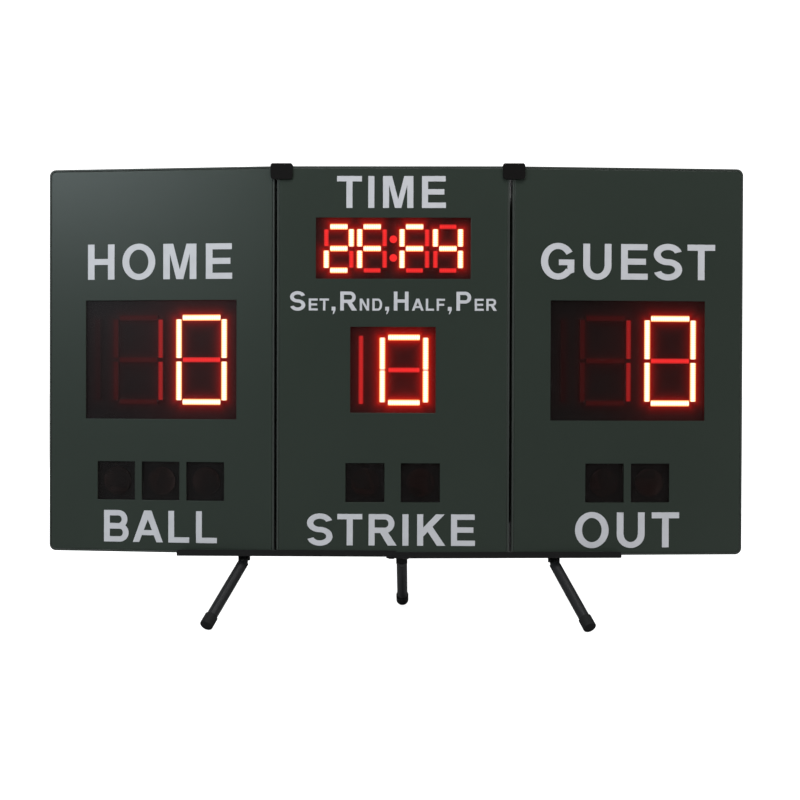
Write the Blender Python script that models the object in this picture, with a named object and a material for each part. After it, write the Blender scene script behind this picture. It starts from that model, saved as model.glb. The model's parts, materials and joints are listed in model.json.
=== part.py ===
"""Three-panel folding electronic scoreboard standing on a rail with three splayed legs.

Metres, +Z up, the front faces -Y. The origin is on the ground under the middle of the object.
A panel's own frame has Y = 0 on the board's front and Z = 0 on its bottom edge.
"""

import math

import bmesh
import bpy
from mathutils import Matrix, Vector

# Fits
GAP = 0.0003  # between pieces that touch
CUT = 0.001  # how far a cutter runs past what it cuts
BITE = 0.0006  # how far a joined shape reaches into its neighbour
SKIN = 0.0001  # step that keeps two joined faces out of one plane

# Panels
PANEL_HEIGHT = 0.443
PANEL_THICKNESS = 0.026
CENTRE_WIDTH = 0.265
WING_WIDTH = 0.2665
SEAM_PLAY = 0.0004  # between the panels' ends when the board is flat
RIM = 0.0022  # visible front edge of a rear cover
SEAT = 0.002  # step inside the rim that the front panel rests on
FACE_THICKNESS = 0.002
BACK_THICKNESS = 0.002
OUTER_RADIUS = 0.0075  # the board's four outer corners
BACK_CHAMFER = 0.0015

# Windows in the front panels
SCORE_WINDOW = (0.1785, 0.137)
SCORE_WINDOW_RISE = 0.0009  # above the panel's mid-height
CLOCK_WINDOW = (0.1765, 0.0697)
CLOCK_WINDOW_DROP = 0.0933  # middle of the window under the panel's top
PERIOD_WINDOW = (0.0975, 0.098)
PERIOD_WINDOW_RISE = -0.0104
LAMP_WINDOW = 0.0445
LAMP_WINDOW_Z = 0.0824
LAMP_SPACING = 0.0083  # between neighbouring lamp windows on a wing
STRIKE_SPACING = 0.0187
LENS_SINK = 0.0002  # lens front behind the board's front
LENS_FLANGE = 0.003  # reach of the flange behind the front panel
LENS_FLANGE_THICKNESS = 0.001

# Seven-segment digits: width, height, thickness of a bar, gap beside the level bars,
# gap between the upright bars, and how far these end below the top bar's middle
SCORE_DIGIT = (0.0598, 0.1035, 0.0064, 0.0004, 0.0034, 0.0008)
CLOCK_DIGIT = (0.0346, 0.0558, 0.0063, 0.0003, 0.0024, 0.0014)
PERIOD_DIGIT = (0.0557, 0.0807, 0.0062, 0.0020, 0.0012, 0.0002)
BAR_CORNER = 0.0006
SCORE_ONE_LENGTH = 0.094
PERIOD_ONE_LENGTH = 0.0784
SCORE_DIGIT_SPACING = 0.0153
SCORE_ONE_SPACING = 0.0187  # from the tens digit to the middle of the leading bar
SCORE_ONES_X = 0.0486  # the ones digit from the middle of its window
SCORE_GROUP_SHIFT = 0.0013  # both score groups sit a little outwards in their windows
CLOCK_DIGIT_SPACING = 0.0035
CLOCK_COLON_MARGIN = 0.0025
CLOCK_COLON_DIAMETER = 0.0087
CLOCK_COLON_PITCH = 0.0212
PERIOD_DIGIT_X = 0.0125
PERIOD_ONE_SPACING = 0.0213
BAR_HEIGHT = 0.004
LAMP_DIAMETER = 0.032
LAMP_HEIGHT = 0.003
CIRCUIT_BOARD_THICKNESS = 0.0016
BOARD_MARGIN = 0.008  # circuit board past its window
POST_DIAMETER = 0.006
POST_INSET = 0.005

# Works in the centre panel; an inset is from the panel's end to the middle
CELL_DIAMETER = 0.0142
CELL_LENGTH = 0.0502
CELL_PLAY = 0.0005
HOLDER_WALL = 0.0012
HOLDER_INSET = 0.0515
HOLDER_Z = 0.194
DOOR_MARGIN = 0.0055
DOOR_THICKNESS = 0.002
DOOR_GUIDE = 0.0015
DOOR_GRIPS = 3
DOOR_GRIP_HEIGHT = 0.0008
DOOR_GRIP_WIDTH = 0.020
DOOR_GRIP_PITCH = 0.004
DOOR_GRIP_Z = 0.010  # lowest grip above the door's bottom edge
CONTROL_BOARD = (0.058, 0.100)
CONTROL_BOARD_INSET = 0.042
CONTROL_BOARD_Z = 0.205
CONTROL_POST = 0.005
CHIP = (0.014, 0.014, 0.002)
CHIP_PITCH = 0.050
BUZZER_RADIUS = 0.011
BUZZER_HEIGHT = 0.006
SOUND_SLOTS = 5
SOUND_SLOT = (0.020, 0.002)
SOUND_SLOT_PITCH = 0.005
SWITCH_BODY = (0.013, 0.012, 0.019)
SWITCH_BEZEL = 0.002
SWITCH_WALL = 0.0015
SWITCH_WELL = 0.006
SWITCH_INSET = 0.0625
SWITCH_RISE = 0.00285  # above the strike lamp board's upper posts
ROCKER_TILT = math.radians(8)
ROCKER_RISE = 0.0006
ROCKER_DROP = 0.003
ROCKER_END_PLAY = 0.0012
GROMMET_RADIUS = 0.0042
GROMMET_BORE = 0.0026
GROMMET_Z = 0.150

# Hinges, each two long leaves on a pin
FOLD_PLAY = 0.0009  # between the battery door's guides and the folded home wing
STACK_GAP = 0.003  # between the folded home wing and the folded guest wing
HOME_AXIS_SHIFT = 0.0021  # the home hinge sits this far outside its seam
HOME_WING_FOLD = math.radians(5.5)  # how far back each wing stands in use
GUEST_WING_FOLD = math.radians(3.8)
HINGE_PIN_RADIUS = 0.001
HINGE_PIN_PLAY = 0.0003
LEAF_THICKNESS = 0.001
OFFSET_LEAF_THICKNESS = 0.0014
LEAF_WIDTH = 0.022
HINGE_MARGIN = 0.034  # leaves' ends from the panel's top and bottom
KNUCKLES = 5
KNUCKLE_GAP = 0.0006

# Saddle clips over the seams
CLIP_WIDTH = 0.0252
CLIP_TOP = 0.0027
CLIP_WALL = 0.002
CLIP_DROP = 0.0153
CLIP_CORNER = 0.0035
CLIP_EDGE = 0.0017  # cut off the top corners
HOME_CLIP_SHIFT = 0.0053  # home clip's middle from its seam, towards the centre
GUEST_CLIP_SHIFT = -0.0043  # the guest clip sits towards its wing
CLIP_SWING_CLEARANCE = 0.0013  # clip's rear wall to the centre panel's end

# Stand
STAND_SHIFT = 0.007  # the stand sits a little to the guest side
RAIL_LENGTH = 0.507
RAIL_SPLIT = -0.0033  # where the two halves' lips meet, from the stand's middle
RAIL_LAP = 0.014  # reach of each half's ledge past the stand's middle
RAIL_SHEET = 0.0016
RAIL_LIP = 0.0052  # front lip above the panels' bottom edge
RAIL_REAR_LIP = 0.020
RAIL_REAR_LIP_LENGTH = 0.100
RAIL_REAR_INSET = 0.006  # rear lips inside the centre panel's ends
RAIL_CORNER = 0.003
RAIL_EDGE = 0.001
RIVET_Y = 0.0075
RIVET_PITCH = 0.0165
RIVET_RADIUS = 0.002
RIVET_HEAD_RADIUS = 0.0035
RIVET_HEAD_HEIGHT = 0.0012
SIDE_LEG_INSET = 0.0737  # side legs' pivots inside the rail's ends
FOLDED_LEG_GAP = 0.0022  # between the folded side legs and the folded rear leg
LEG_FOLD_CLEARANCE = 0.0029  # folded foot caps under the home half of the rail
LEG_LENGTH = 0.0958  # pivot to the end of the foot cap
LEG_TILT = math.radians(52.4)  # every leg from the vertical
SIDE_AZIMUTH = math.radians(23.5)  # side legs outwards from straight ahead
LEG_RADIUS = 0.0062
LEG_WALL = 0.0012
LEG_TOP = 0.0052  # the tube's round top above its pivot
LEG_PLUG = 0.004  # solid under the slot in the tube's top
TAB_THICKNESS = 0.004
TAB_RADIUS = 0.0052
TAB_REACH = 0.014  # above the pivot, before the rail cuts it off
LEG_PIN_RADIUS = 0.002
LEG_PIN_PLAY = 0.0003
BRACKET_SEAT = (0.013, 0.007, 0.008)  # the block under the rail: width, depth and height
SEAT_CLEARANCE = 0.0014  # to a leg's side
REAR_LEG_SHIFT = 0.0035  # the rear leg sits this far to the guest side of the stand's middle
FOOT_WALL = 0.0009
FOOT_LENGTH = 0.0142
FOOT_FLOOR = 0.003
FOOT_ROUND = 0.0012
FOOT_EDGE = 0.0004

# Derived places
HALF_CENTRE = CENTRE_WIDTH / 2
WING_START = HALF_CENTRE + SEAM_PLAY
SEAM = HALF_CENTRE + SEAM_PLAY / 2
SCORE_WINDOW_Z = PANEL_HEIGHT / 2 + SCORE_WINDOW_RISE
CLOCK_WINDOW_Z = PANEL_HEIGHT - CLOCK_WINDOW_DROP
PERIOD_WINDOW_Z = PANEL_HEIGHT / 2 + PERIOD_WINDOW_RISE
LAMP_POSTS_TOP = LAMP_WINDOW_Z + LAMP_WINDOW / 2 + BOARD_MARGIN - POST_INSET + POST_DIAMETER / 2
SWITCH_Z = LAMP_POSTS_TOP + SWITCH_RISE + SWITCH_BODY[2] / 2
FACE_DEPTH = FACE_THICKNESS + GAP  # depth of the recess that takes the front panel
BAR_FRONT = FACE_DEPTH + LENS_FLANGE_THICKNESS + GAP
DISPLAY_FRONT = BAR_FRONT + BAR_HEIGHT  # front of the display circuit boards
DISPLAY_BACK = DISPLAY_FRONT + CIRCUIT_BOARD_THICKNESS
DISPLAY_MIDDLE = (DISPLAY_FRONT + DISPLAY_BACK) / 2
INNER_BACK = PANEL_THICKNESS - BACK_THICKNESS
WALL_MIDDLE = PANEL_THICKNESS - BACK_THICKNESS / 2
BACK = PANEL_THICKNESS + GAP  # where something that lies on the back begins
DOOR_BACK = BACK + DOOR_THICKNESS
DOOR_GUIDE_TOP = DOOR_BACK + GAP + DOOR_GUIDE
FOLD_GAP = DOOR_GUIDE_TOP - PANEL_THICKNESS + FOLD_PLAY
BARREL_RADIUS = FOLD_GAP / 2 - GAP
HINGE_BORE_RADIUS = HINGE_PIN_RADIUS + HINGE_PIN_PLAY
HINGE_LENGTH = PANEL_HEIGHT - 2 * HINGE_MARGIN
HOME_AXIS = (-SEAM - HOME_AXIS_SHIFT, PANEL_THICKNESS + FOLD_GAP / 2)
GUEST_AXIS = (SEAM, PANEL_THICKNESS * 1.5 + (FOLD_GAP + STACK_GAP) / 2)
FOOT_RADIUS = LEG_RADIUS + GAP + FOOT_WALL
SIDE_LEAN = math.atan(math.tan(LEG_TILT) * math.cos(SIDE_AZIMUTH))
SIDE_SPLAY = math.asin(math.sin(LEG_TILT) * math.sin(SIDE_AZIMUTH))
SIDE_PIVOT_X = RAIL_LENGTH / 2 - SIDE_LEG_INSET
SIDE_PIVOT_Y = PANEL_THICKNESS / 2
REAR_PIVOT_Y = SIDE_PIVOT_Y + 2 * FOOT_RADIUS + FOLDED_LEG_GAP
PIVOT_DROP = FOOT_RADIUS + LEG_FOLD_CLEARANCE  # leg pivots under the home half of the rail
LAP_DROP = RAIL_SHEET + GAP  # the guest half's ledge lies this much lower in the middle
GUEST_RAIL_RISE = math.atan(LAP_DROP / (RAIL_LENGTH / 2))  # and comes level at its outer end
GUEST_LEG_DROP = LAP_DROP - (SIDE_PIVOT_X - BRACKET_SEAT[0] / 2) * math.tan(GUEST_RAIL_RISE)
FOOT_CENTRE = (LEG_LENGTH - FOOT_ROUND, FOOT_RADIUS - FOOT_ROUND)  # of the rounding that stands on the ground
PIVOT_Z = FOOT_CENTRE[0] * math.cos(LEG_TILT) + FOOT_CENTRE[1] * math.sin(LEG_TILT) + FOOT_ROUND
FOOT_REACH = FOOT_CENTRE[0] * math.sin(LEG_TILT) - FOOT_CENTRE[1] * math.cos(LEG_TILT)
BOARD_Z = PIVOT_Z + PIVOT_DROP + RAIL_SHEET + GAP
BOARD_Y = -(REAR_PIVOT_Y + FOOT_REACH + SIDE_PIVOT_Y - FOOT_REACH * math.cos(SIDE_AZIMUTH)) / 2


def material(name, colour, roughness, metallic=0.0):
    made = bpy.data.materials.new(name)
    made.use_nodes = True
    shader = made.node_tree.nodes["Principled BSDF"]
    shader.inputs["Base Color"].default_value = (*colour, 1.0)
    shader.inputs["Roughness"].default_value = roughness
    shader.inputs["Metallic"].default_value = metallic
    return made


def carrier(name, location, rotation=None, parent=None):
    """An empty that carries the pieces of one body."""
    empty = bpy.data.objects.new(name, None)
    empty.parent = parent
    place = Matrix.Translation(location)
    empty.matrix_local = place @ rotation if rotation else place
    bpy.context.scene.collection.objects.link(empty)
    return empty


def piece(name, bm, look, parent):
    """The bmesh as one named object on its carrier."""
    bmesh.ops.recalc_face_normals(bm, faces=bm.faces)
    mesh = bpy.data.meshes.new(name)
    bm.to_mesh(mesh)
    bm.free()
    mesh.shade_smooth()
    mesh.set_sharp_from_angle(angle=math.radians(35))
    made = bpy.data.objects.new(name, mesh)
    if look:
        mesh.materials.append(look)
    made.parent = parent
    bpy.context.scene.collection.objects.link(made)
    return made


def boolean(target, bm, operation):
    """Cuts the shape from the target, or joins it on."""
    name = f"{target.name}_{operation.lower()}_{len(target.modifiers)}"
    other = piece(name, bm, None, target.parent)
    other.hide_render = True
    other.display_type = "WIRE"
    modifier = target.modifiers.new(operation.title(), "BOOLEAN")
    modifier.operation = operation
    modifier.object = other


def cut(target, bm):
    boolean(target, bm, "DIFFERENCE")


def join(target, bm):
    boolean(target, bm, "UNION")


def add_box(bm, x, y, z):
    """A box from three ranges, each given as its two ends in either order."""
    ranges = [sorted(x), sorted(y), sorted(z)]
    corners = [bm.verts.new((a, b, c)) for a in ranges[0] for b in ranges[1] for c in ranges[2]]
    for face in ((0, 1, 3, 2), (4, 6, 7, 5), (0, 4, 5, 1), (2, 3, 7, 6), (0, 2, 6, 4), (1, 5, 7, 3)):
        bm.faces.new([corners[i] for i in face])


def box(x, y, z):
    bm = bmesh.new()
    add_box(bm, x, y, z)
    return bm


def around(middle, size):
    return (middle - size / 2, middle + size / 2)


def add_loft(bm, rings):
    """Joins rings of as many points each, and closes both ends."""
    loops = [[bm.verts.new(point) for point in ring] for ring in rings]
    for first, second in zip(loops, loops[1:]):
        for i in range(len(first)):
            j = (i + 1) % len(first)
            bm.faces.new((first[i], first[j], second[j], second[i]))
    bm.faces.new(loops[0])
    bm.faces.new(loops[-1])


def at_depth(points, y):
    return [(x, y, z) for x, z in points]


def at_height(points, z):
    return [(x, y, z) for x, y in points]


def prism(points, y0, y1):
    """An outline seen from the front, from y0 to y1."""
    bm = bmesh.new()
    add_loft(bm, [at_depth(points, y0), at_depth(points, y1)])
    return bm


def add_cylinder(bm, start, axis, radius, length, segments=24, turn=0.0):
    """A cylinder from start along axis, which is X, Y or Z."""
    directions = {"X": Vector((1, 0, 0)), "Y": Vector((0, 1, 0)), "Z": Vector((0, 0, 1))}
    along = directions[axis]
    across = directions["XYZ"[("XYZ".index(axis) + 1) % 3]]
    upward = along.cross(across)
    angles = [turn + 2 * math.pi * i / segments for i in range(segments)]
    ring = [Vector(start) + radius * (math.cos(a) * across + math.sin(a) * upward) for a in angles]
    add_loft(bm, [ring, [point + length * along for point in ring]])


def cylinder(start, axis, radius, length, segments=24, turn=0.0):
    bm = bmesh.new()
    add_cylinder(bm, start, axis, radius, length, segments, turn)
    return bm


def panel_outline(span, rounded, inset=0.0, steps=6):
    """A panel seen from the front, from low left and round. Rounded says which ends have round corners."""
    left, right = span
    points = []
    corners = (
        (left, 0, 1, 1, math.pi, rounded[0]),
        (right, 0, -1, 1, math.pi * 1.5, rounded[1]),
        (right, PANEL_HEIGHT, -1, -1, 0.0, rounded[1]),
        (left, PANEL_HEIGHT, 1, -1, math.pi * 0.5, rounded[0]),
    )
    radius = OUTER_RADIUS - inset
    for x, z, inward_x, inward_z, start, is_round in corners:
        if not is_round:
            points.append((x + inward_x * inset, z + inward_z * inset))
            continue
        centre_x = x + inward_x * OUTER_RADIUS
        centre_z = z + inward_z * OUTER_RADIUS
        for step in range(steps + 1):
            a = start + math.pi / 2 * step / steps
            points.append((centre_x + radius * math.cos(a), centre_z + radius * math.sin(a)))
    return points


def rear_cover(name, span, rounded, look, parent, y):
    """A deep tray whose rim shows round the front panel."""
    outer = panel_outline(span, rounded)
    chamfered = panel_outline(span, rounded, BACK_CHAMFER)
    recess = panel_outline(span, rounded, RIM)
    hollow = panel_outline(span, rounded, RIM + SEAT)
    bm = bmesh.new()
    add_loft(
        bm,
        [
            at_depth(hollow, y + INNER_BACK),
            at_depth(hollow, y + FACE_DEPTH),
            at_depth(recess, y + FACE_DEPTH),
            at_depth(recess, y),
            at_depth(outer, y),
            at_depth(outer, y + PANEL_THICKNESS - BACK_CHAMFER),
            at_depth(chamfered, y + PANEL_THICKNESS),
        ],
    )
    return piece(name, bm, look, parent)


def front_panel(name, span, rounded, windows, look, parent, y):
    """The plate in the cover's recess, with its windows cut out. A window is (x, z, width, height)."""
    outline = panel_outline(span, rounded, RIM + GAP)
    plate = piece(name, prism(outline, y, y + FACE_THICKNESS), look, parent)
    cutter = bmesh.new()
    for x, z, width, height in windows:
        add_box(cutter, around(x, width), (y - CUT, y + FACE_THICKNESS + CUT), around(z, height))
    cut(plate, cutter)


def lens(name, windows, look, parent, y):
    """A smoked pane that fills its windows, held by a flange behind the front panel."""
    left = min(x - width / 2 for x, z, width, height in windows) - LENS_FLANGE
    right = max(x + width / 2 for x, z, width, height in windows) + LENS_FLANGE
    low = min(z - height / 2 for x, z, width, height in windows) - LENS_FLANGE
    high = max(z + height / 2 for x, z, width, height in windows) + LENS_FLANGE
    flange = y + FACE_DEPTH
    flange_back = flange + LENS_FLANGE_THICKNESS
    pane = piece(name, box((left, right), (flange, flange_back), (low, high)), look, parent)
    pads = bmesh.new()
    for x, z, width, height in windows:
        depth = (y + LENS_SINK, flange + LENS_FLANGE_THICKNESS / 2)
        add_box(pads, around(x, width - 2 * GAP), depth, around(z, height - 2 * GAP))
    join(pane, pads)


def add_bar(bm, x, z, width, height, y):
    """One light bar with cut corners, and its middle at x, z."""
    half_x, half_z = width / 2, height / 2
    flat_x, flat_z = half_x - BAR_CORNER, half_z - BAR_CORNER
    ring = [(-flat_x, -half_z), (flat_x, -half_z), (half_x, -flat_z), (half_x, flat_z)]
    ring += [(-a, -b) for a, b in ring]
    places = [(x + a, z + b) for a, b in ring]
    add_loft(bm, [at_depth(places, y + BAR_FRONT), at_depth(places, y + DISPLAY_MIDDLE)])


def add_digit(bm, x, z, digit, y):
    """Seven bars round a figure of eight."""
    width, height, thickness, side_gap, middle_gap, drop = digit
    rise = (height - thickness) / 2
    for level in (*around(z, 2 * rise), z):
        add_bar(bm, x, level, width - 2 * (thickness + side_gap), thickness, y)
    low, high = middle_gap / 2, rise - drop
    for side in around(x, width - thickness):
        for level in around(z, low + high):
            add_bar(bm, side, level, thickness, high - low, y)


def circuit_board(name, x, z, size, look, parent, y):
    """A plain board, with its front at the depth of the displays."""
    depth = (y + DISPLAY_FRONT, y + DISPLAY_BACK)
    return piece(name, box(around(x, size[0]), depth, around(z, size[1])), look, parent)


def add_posts(bm, x, z, size, start, end):
    """Four posts under the corners of a circuit board."""
    for post_x in around(x, size[0] - 2 * POST_INSET):
        for post_z in around(z, size[1] - 2 * POST_INSET):
            add_cylinder(bm, (post_x, start, post_z), "Y", POST_DIAMETER / 2, end - start, segments=8)


def lamp_windows(middle, count, pitch):
    places = [middle + (i - (count - 1) / 2) * pitch for i in range(count)]
    return [(x, LAMP_WINDOW_Z, LAMP_WINDOW, LAMP_WINDOW) for x in places]


def lamp_board(name, windows, looks, parent, y):
    """A strip of circuit board with one round lamp behind each window, and the size of the strip."""
    middle = (windows[0][0] + windows[-1][0]) / 2
    width = windows[-1][0] - windows[0][0] + LAMP_WINDOW + 2 * LENS_FLANGE
    size = (width, LAMP_WINDOW + 2 * BOARD_MARGIN)
    board = circuit_board(name, middle, LAMP_WINDOW_Z, size, looks["circuit"], parent, y)
    discs = bmesh.new()
    front = DISPLAY_FRONT - LAMP_HEIGHT
    for x, z, *_ in windows:
        add_cylinder(discs, (x, y + front, z), "Y", LAMP_DIAMETER / 2, DISPLAY_MIDDLE - front, segments=20)
    join(board, discs)
    return size


def score_display(name, middle, side, looks, parent, y):
    """Two digits and a leading one, and the size of their circuit board."""
    size = (SCORE_WINDOW[0] + 2 * BOARD_MARGIN, SCORE_WINDOW[1] + 2 * BOARD_MARGIN)
    display = circuit_board(name, middle, SCORE_WINDOW_Z, size, looks["circuit"], parent, y)
    ones = middle + SCORE_ONES_X + side * SCORE_GROUP_SHIFT
    tens = ones - SCORE_DIGIT[0] - SCORE_DIGIT_SPACING
    hundreds = tens - SCORE_DIGIT[0] / 2 - SCORE_ONE_SPACING
    bars = bmesh.new()
    add_digit(bars, ones, SCORE_WINDOW_Z, SCORE_DIGIT, y)
    add_digit(bars, tens, SCORE_WINDOW_Z, SCORE_DIGIT, y)
    add_bar(bars, hundreds, SCORE_WINDOW_Z, SCORE_DIGIT[2], SCORE_ONE_LENGTH, y)
    join(display, bars)
    return size


def clock_display(looks, parent):
    """Four digits round a colon, and the size of their circuit board."""
    size = (CLOCK_WINDOW[0] + 2 * BOARD_MARGIN, CLOCK_WINDOW[1] + 2 * BOARD_MARGIN)
    display = circuit_board("clock_display", 0, CLOCK_WINDOW_Z, size, looks["circuit"], parent, 0)
    inner = CLOCK_COLON_DIAMETER / 2 + CLOCK_COLON_MARGIN + CLOCK_DIGIT[0] / 2
    outer = inner + CLOCK_DIGIT[0] + CLOCK_DIGIT_SPACING
    bars = bmesh.new()
    for x in (-outer, -inner, inner, outer):
        add_digit(bars, x, CLOCK_WINDOW_Z, CLOCK_DIGIT, 0)
    for z in around(CLOCK_WINDOW_Z, CLOCK_COLON_PITCH):
        radius = CLOCK_COLON_DIAMETER / 2
        add_cylinder(bars, (0, BAR_FRONT, z), "Y", radius, DISPLAY_MIDDLE - BAR_FRONT, segments=12)
    join(display, bars)
    return size


def period_display(looks, parent):
    """One digit and a leading one, and the size of their circuit board, which leaves room beside it."""
    size = (PERIOD_WINDOW[0], PERIOD_WINDOW[1] + 2 * BOARD_MARGIN)
    display = circuit_board("period_display", 0, PERIOD_WINDOW_Z, size, looks["circuit"], parent, 0)
    one_x = PERIOD_DIGIT_X - PERIOD_DIGIT[0] / 2 - PERIOD_ONE_SPACING
    bars = bmesh.new()
    add_digit(bars, PERIOD_DIGIT_X, PERIOD_WINDOW_Z, PERIOD_DIGIT, 0)
    add_bar(bars, one_x, PERIOD_WINDOW_Z, PERIOD_DIGIT[2], PERIOD_ONE_LENGTH, 0)
    join(display, bars)
    return size


def grommet(name, cover, end, inward, looks, parent, y):
    """A rubber ring in the wall at a cover's end. Inward is the way from the wall into the panel."""
    wall = RIM + SEAT
    middle = y + (FACE_DEPTH + INNER_BACK) / 2
    start = min(end, end + inward * wall)
    outside = (start - CUT, middle, GROMMET_Z)
    cut(cover, cylinder(outside, "X", GROMMET_RADIUS + GAP, wall + 2 * CUT, segments=16))
    within = (start + GAP, middle, GROMMET_Z)
    solid = cylinder(within, "X", GROMMET_RADIUS, wall - 2 * GAP, segments=16)
    ring = piece(name, solid, looks["rubber"], parent)
    cut(ring, cylinder(outside, "X", GROMMET_BORE, wall + 2 * CUT, segments=12))


def wing(side, name, lamp_name, lamp_count, axis, parent, looks):
    """A score panel, built from its hinge's axis. Side is -1 for home and 1 for guest."""
    near = side * WING_START - axis[0]
    far = side * (WING_START + WING_WIDTH) - axis[0]
    span = (min(near, far), max(near, far))
    rounded = (side < 0, side > 0)
    middle = (near + far) / 2
    y = -axis[1]
    score = [(middle, SCORE_WINDOW_Z, *SCORE_WINDOW)]
    lamps = lamp_windows(middle, lamp_count, LAMP_WINDOW + LAMP_SPACING)
    front_panel(f"{name}_front_panel", span, rounded, score + lamps, looks["green"], parent, y)
    lens(f"{name}_score_lens", score, looks["smoke"], parent, y)
    lens(f"{lamp_name}_lens", lamps, looks["smoke"], parent, y)
    score_size = score_display(f"{name}_score_display", middle, side, looks, parent, y)
    lamp_size = lamp_board(f"{lamp_name}_lamp_board", lamps, looks, parent, y)
    cover = rear_cover(f"{name}_rear_cover", span, rounded, looks["cover"], parent, y)
    posts = bmesh.new()
    add_posts(posts, middle, SCORE_WINDOW_Z, score_size, y + DISPLAY_BACK + GAP, y + WALL_MIDDLE)
    add_posts(posts, middle, LAMP_WINDOW_Z, lamp_size, y + DISPLAY_BACK + GAP, y + WALL_MIDDLE)
    join(cover, posts)
    grommet(f"{name}_wing_cable_grommet", cover, near, side, looks, parent, y)


def centre_panel(parent, looks):
    span = (-HALF_CENTRE, HALF_CENTRE)
    square = (False, False)
    clock = [(0, CLOCK_WINDOW_Z, *CLOCK_WINDOW)]
    period = [(0, PERIOD_WINDOW_Z, *PERIOD_WINDOW)]
    strikes = lamp_windows(0, 2, LAMP_WINDOW + STRIKE_SPACING)
    front_panel("centre_front_panel", span, square, clock + period + strikes, looks["green"], parent, 0)
    lens("clock_lens", clock, looks["smoke"], parent, 0)
    lens("period_lens", period, looks["smoke"], parent, 0)
    lens("strike_lens", strikes, looks["smoke"], parent, 0)
    clock_size = clock_display(looks, parent)
    period_size = period_display(looks, parent)
    strike_size = lamp_board("strike_lamp_board", strikes, looks, parent, 0)

    cover = rear_cover("centre_rear_cover", span, square, looks["cover"], parent, 0)
    control_x = CONTROL_BOARD_INSET - HALF_CENTRE
    control_back = INNER_BACK - CONTROL_POST
    posts = bmesh.new()
    add_posts(posts, 0, CLOCK_WINDOW_Z, clock_size, DISPLAY_BACK + GAP, WALL_MIDDLE)
    add_posts(posts, 0, PERIOD_WINDOW_Z, period_size, DISPLAY_BACK + GAP, WALL_MIDDLE)
    add_posts(posts, 0, LAMP_WINDOW_Z, strike_size, DISPLAY_BACK + GAP, WALL_MIDDLE)
    add_posts(posts, control_x, CONTROL_BOARD_Z, CONTROL_BOARD, control_back + GAP, WALL_MIDDLE)
    join(cover, posts)
    control_board(control_x, control_back, parent, looks)
    sound_slots(cover, control_x)
    battery_bay(cover, HALF_CENTRE - HOLDER_INSET, parent, looks)
    power_switch(cover, SWITCH_INSET - HALF_CENTRE, parent, looks)
    grommet("centre_home_side_grommet", cover, -HALF_CENTRE, 1, looks, parent, 0)
    grommet("centre_guest_side_grommet", cover, HALF_CENTRE, -1, looks, parent, 0)


def control_board(x, back, parent, looks):
    """The board that counts and drives the displays, with the buzzer on its face."""
    front = back - CIRCUIT_BOARD_THICKNESS
    plate = box(around(x, CONTROL_BOARD[0]), (front, back), around(CONTROL_BOARD_Z, CONTROL_BOARD[1]))
    board = piece("control_board", plate, looks["circuit"], parent)
    chips = bmesh.new()
    for z in around(CONTROL_BOARD_Z, CHIP_PITCH):
        add_box(chips, around(x, CHIP[0]), (front - CHIP[2], back - BITE), around(z, CHIP[1]))
    join(board, chips)
    start = (x, front - GAP - BUZZER_HEIGHT, CONTROL_BOARD_Z)
    piece("buzzer", cylinder(start, "Y", BUZZER_RADIUS, BUZZER_HEIGHT, segments=20), looks["black"], parent)


def sound_slots(cover, x):
    """Slots in the back of the cover behind the buzzer."""
    cutter = bmesh.new()
    for row in range(SOUND_SLOTS):
        z = CONTROL_BOARD_Z + (row - (SOUND_SLOTS - 1) / 2) * SOUND_SLOT_PITCH
        through = (INNER_BACK - CUT, PANEL_THICKNESS + CUT)
        add_box(cutter, around(x, SOUND_SLOT[0]), through, around(z, SOUND_SLOT[1]))
    cut(cover, cutter)


def battery_bay(cover, x, parent, looks):
    """Four cells in a holder behind an opening, and the door that slides up over it."""
    width = 2 * CELL_DIAMETER + 3 * CELL_PLAY
    height = 2 * CELL_LENGTH + 3 * CELL_PLAY
    floor = INNER_BACK - GAP - CELL_DIAMETER - 2 * CELL_PLAY
    wide, high = width + 2 * HOLDER_WALL, height + 2 * HOLDER_WALL
    block = box(around(x, wide), (floor - HOLDER_WALL, INNER_BACK - GAP), around(HOLDER_Z, high))
    holder = piece("battery_holder", block, looks["black"], parent)
    cut(holder, box(around(x, width), (floor, INNER_BACK), around(HOLDER_Z, height)))
    cut(cover, box(around(x, width), (INNER_BACK - CUT, PANEL_THICKNESS + CUT), around(HOLDER_Z, height)))
    batteries(x, floor + CELL_PLAY + CELL_DIAMETER / 2, parent, looks)
    door = (width + 2 * DOOR_MARGIN, height + 2 * DOOR_MARGIN)
    battery_door(x, door, parent, looks)
    door_guides(cover, x, door)


def batteries(x, y, parent, looks):
    number = 1
    for cell_x in around(x, CELL_DIAMETER + CELL_PLAY):
        for middle in around(HOLDER_Z, CELL_LENGTH + CELL_PLAY):
            start = (cell_x, y, middle - CELL_LENGTH / 2)
            cell = cylinder(start, "Z", CELL_DIAMETER / 2, CELL_LENGTH, segments=16)
            piece(f"battery_{number}", cell, looks["cell"], parent)
            number += 1


def battery_door(x, size, parent, looks):
    """A flat door with finger grips, on a carrier that slides up."""
    slider = carrier("battery_door_slide", (x, 0, HOLDER_Z), parent=parent)
    plate = box(around(0, size[0]), (BACK, DOOR_BACK), around(0, size[1]))
    door = piece("battery_door", plate, looks["cover"], slider)
    grips = bmesh.new()
    for row in range(DOOR_GRIPS):
        z = DOOR_GRIP_Z + row * DOOR_GRIP_PITCH - size[1] / 2
        rise = (DOOR_BACK - BITE, DOOR_BACK + DOOR_GRIP_HEIGHT)
        add_box(grips, around(0, DOOR_GRIP_WIDTH), rise, around(z, DOOR_GRIP_PITCH / 2))
    join(door, grips)


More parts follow.
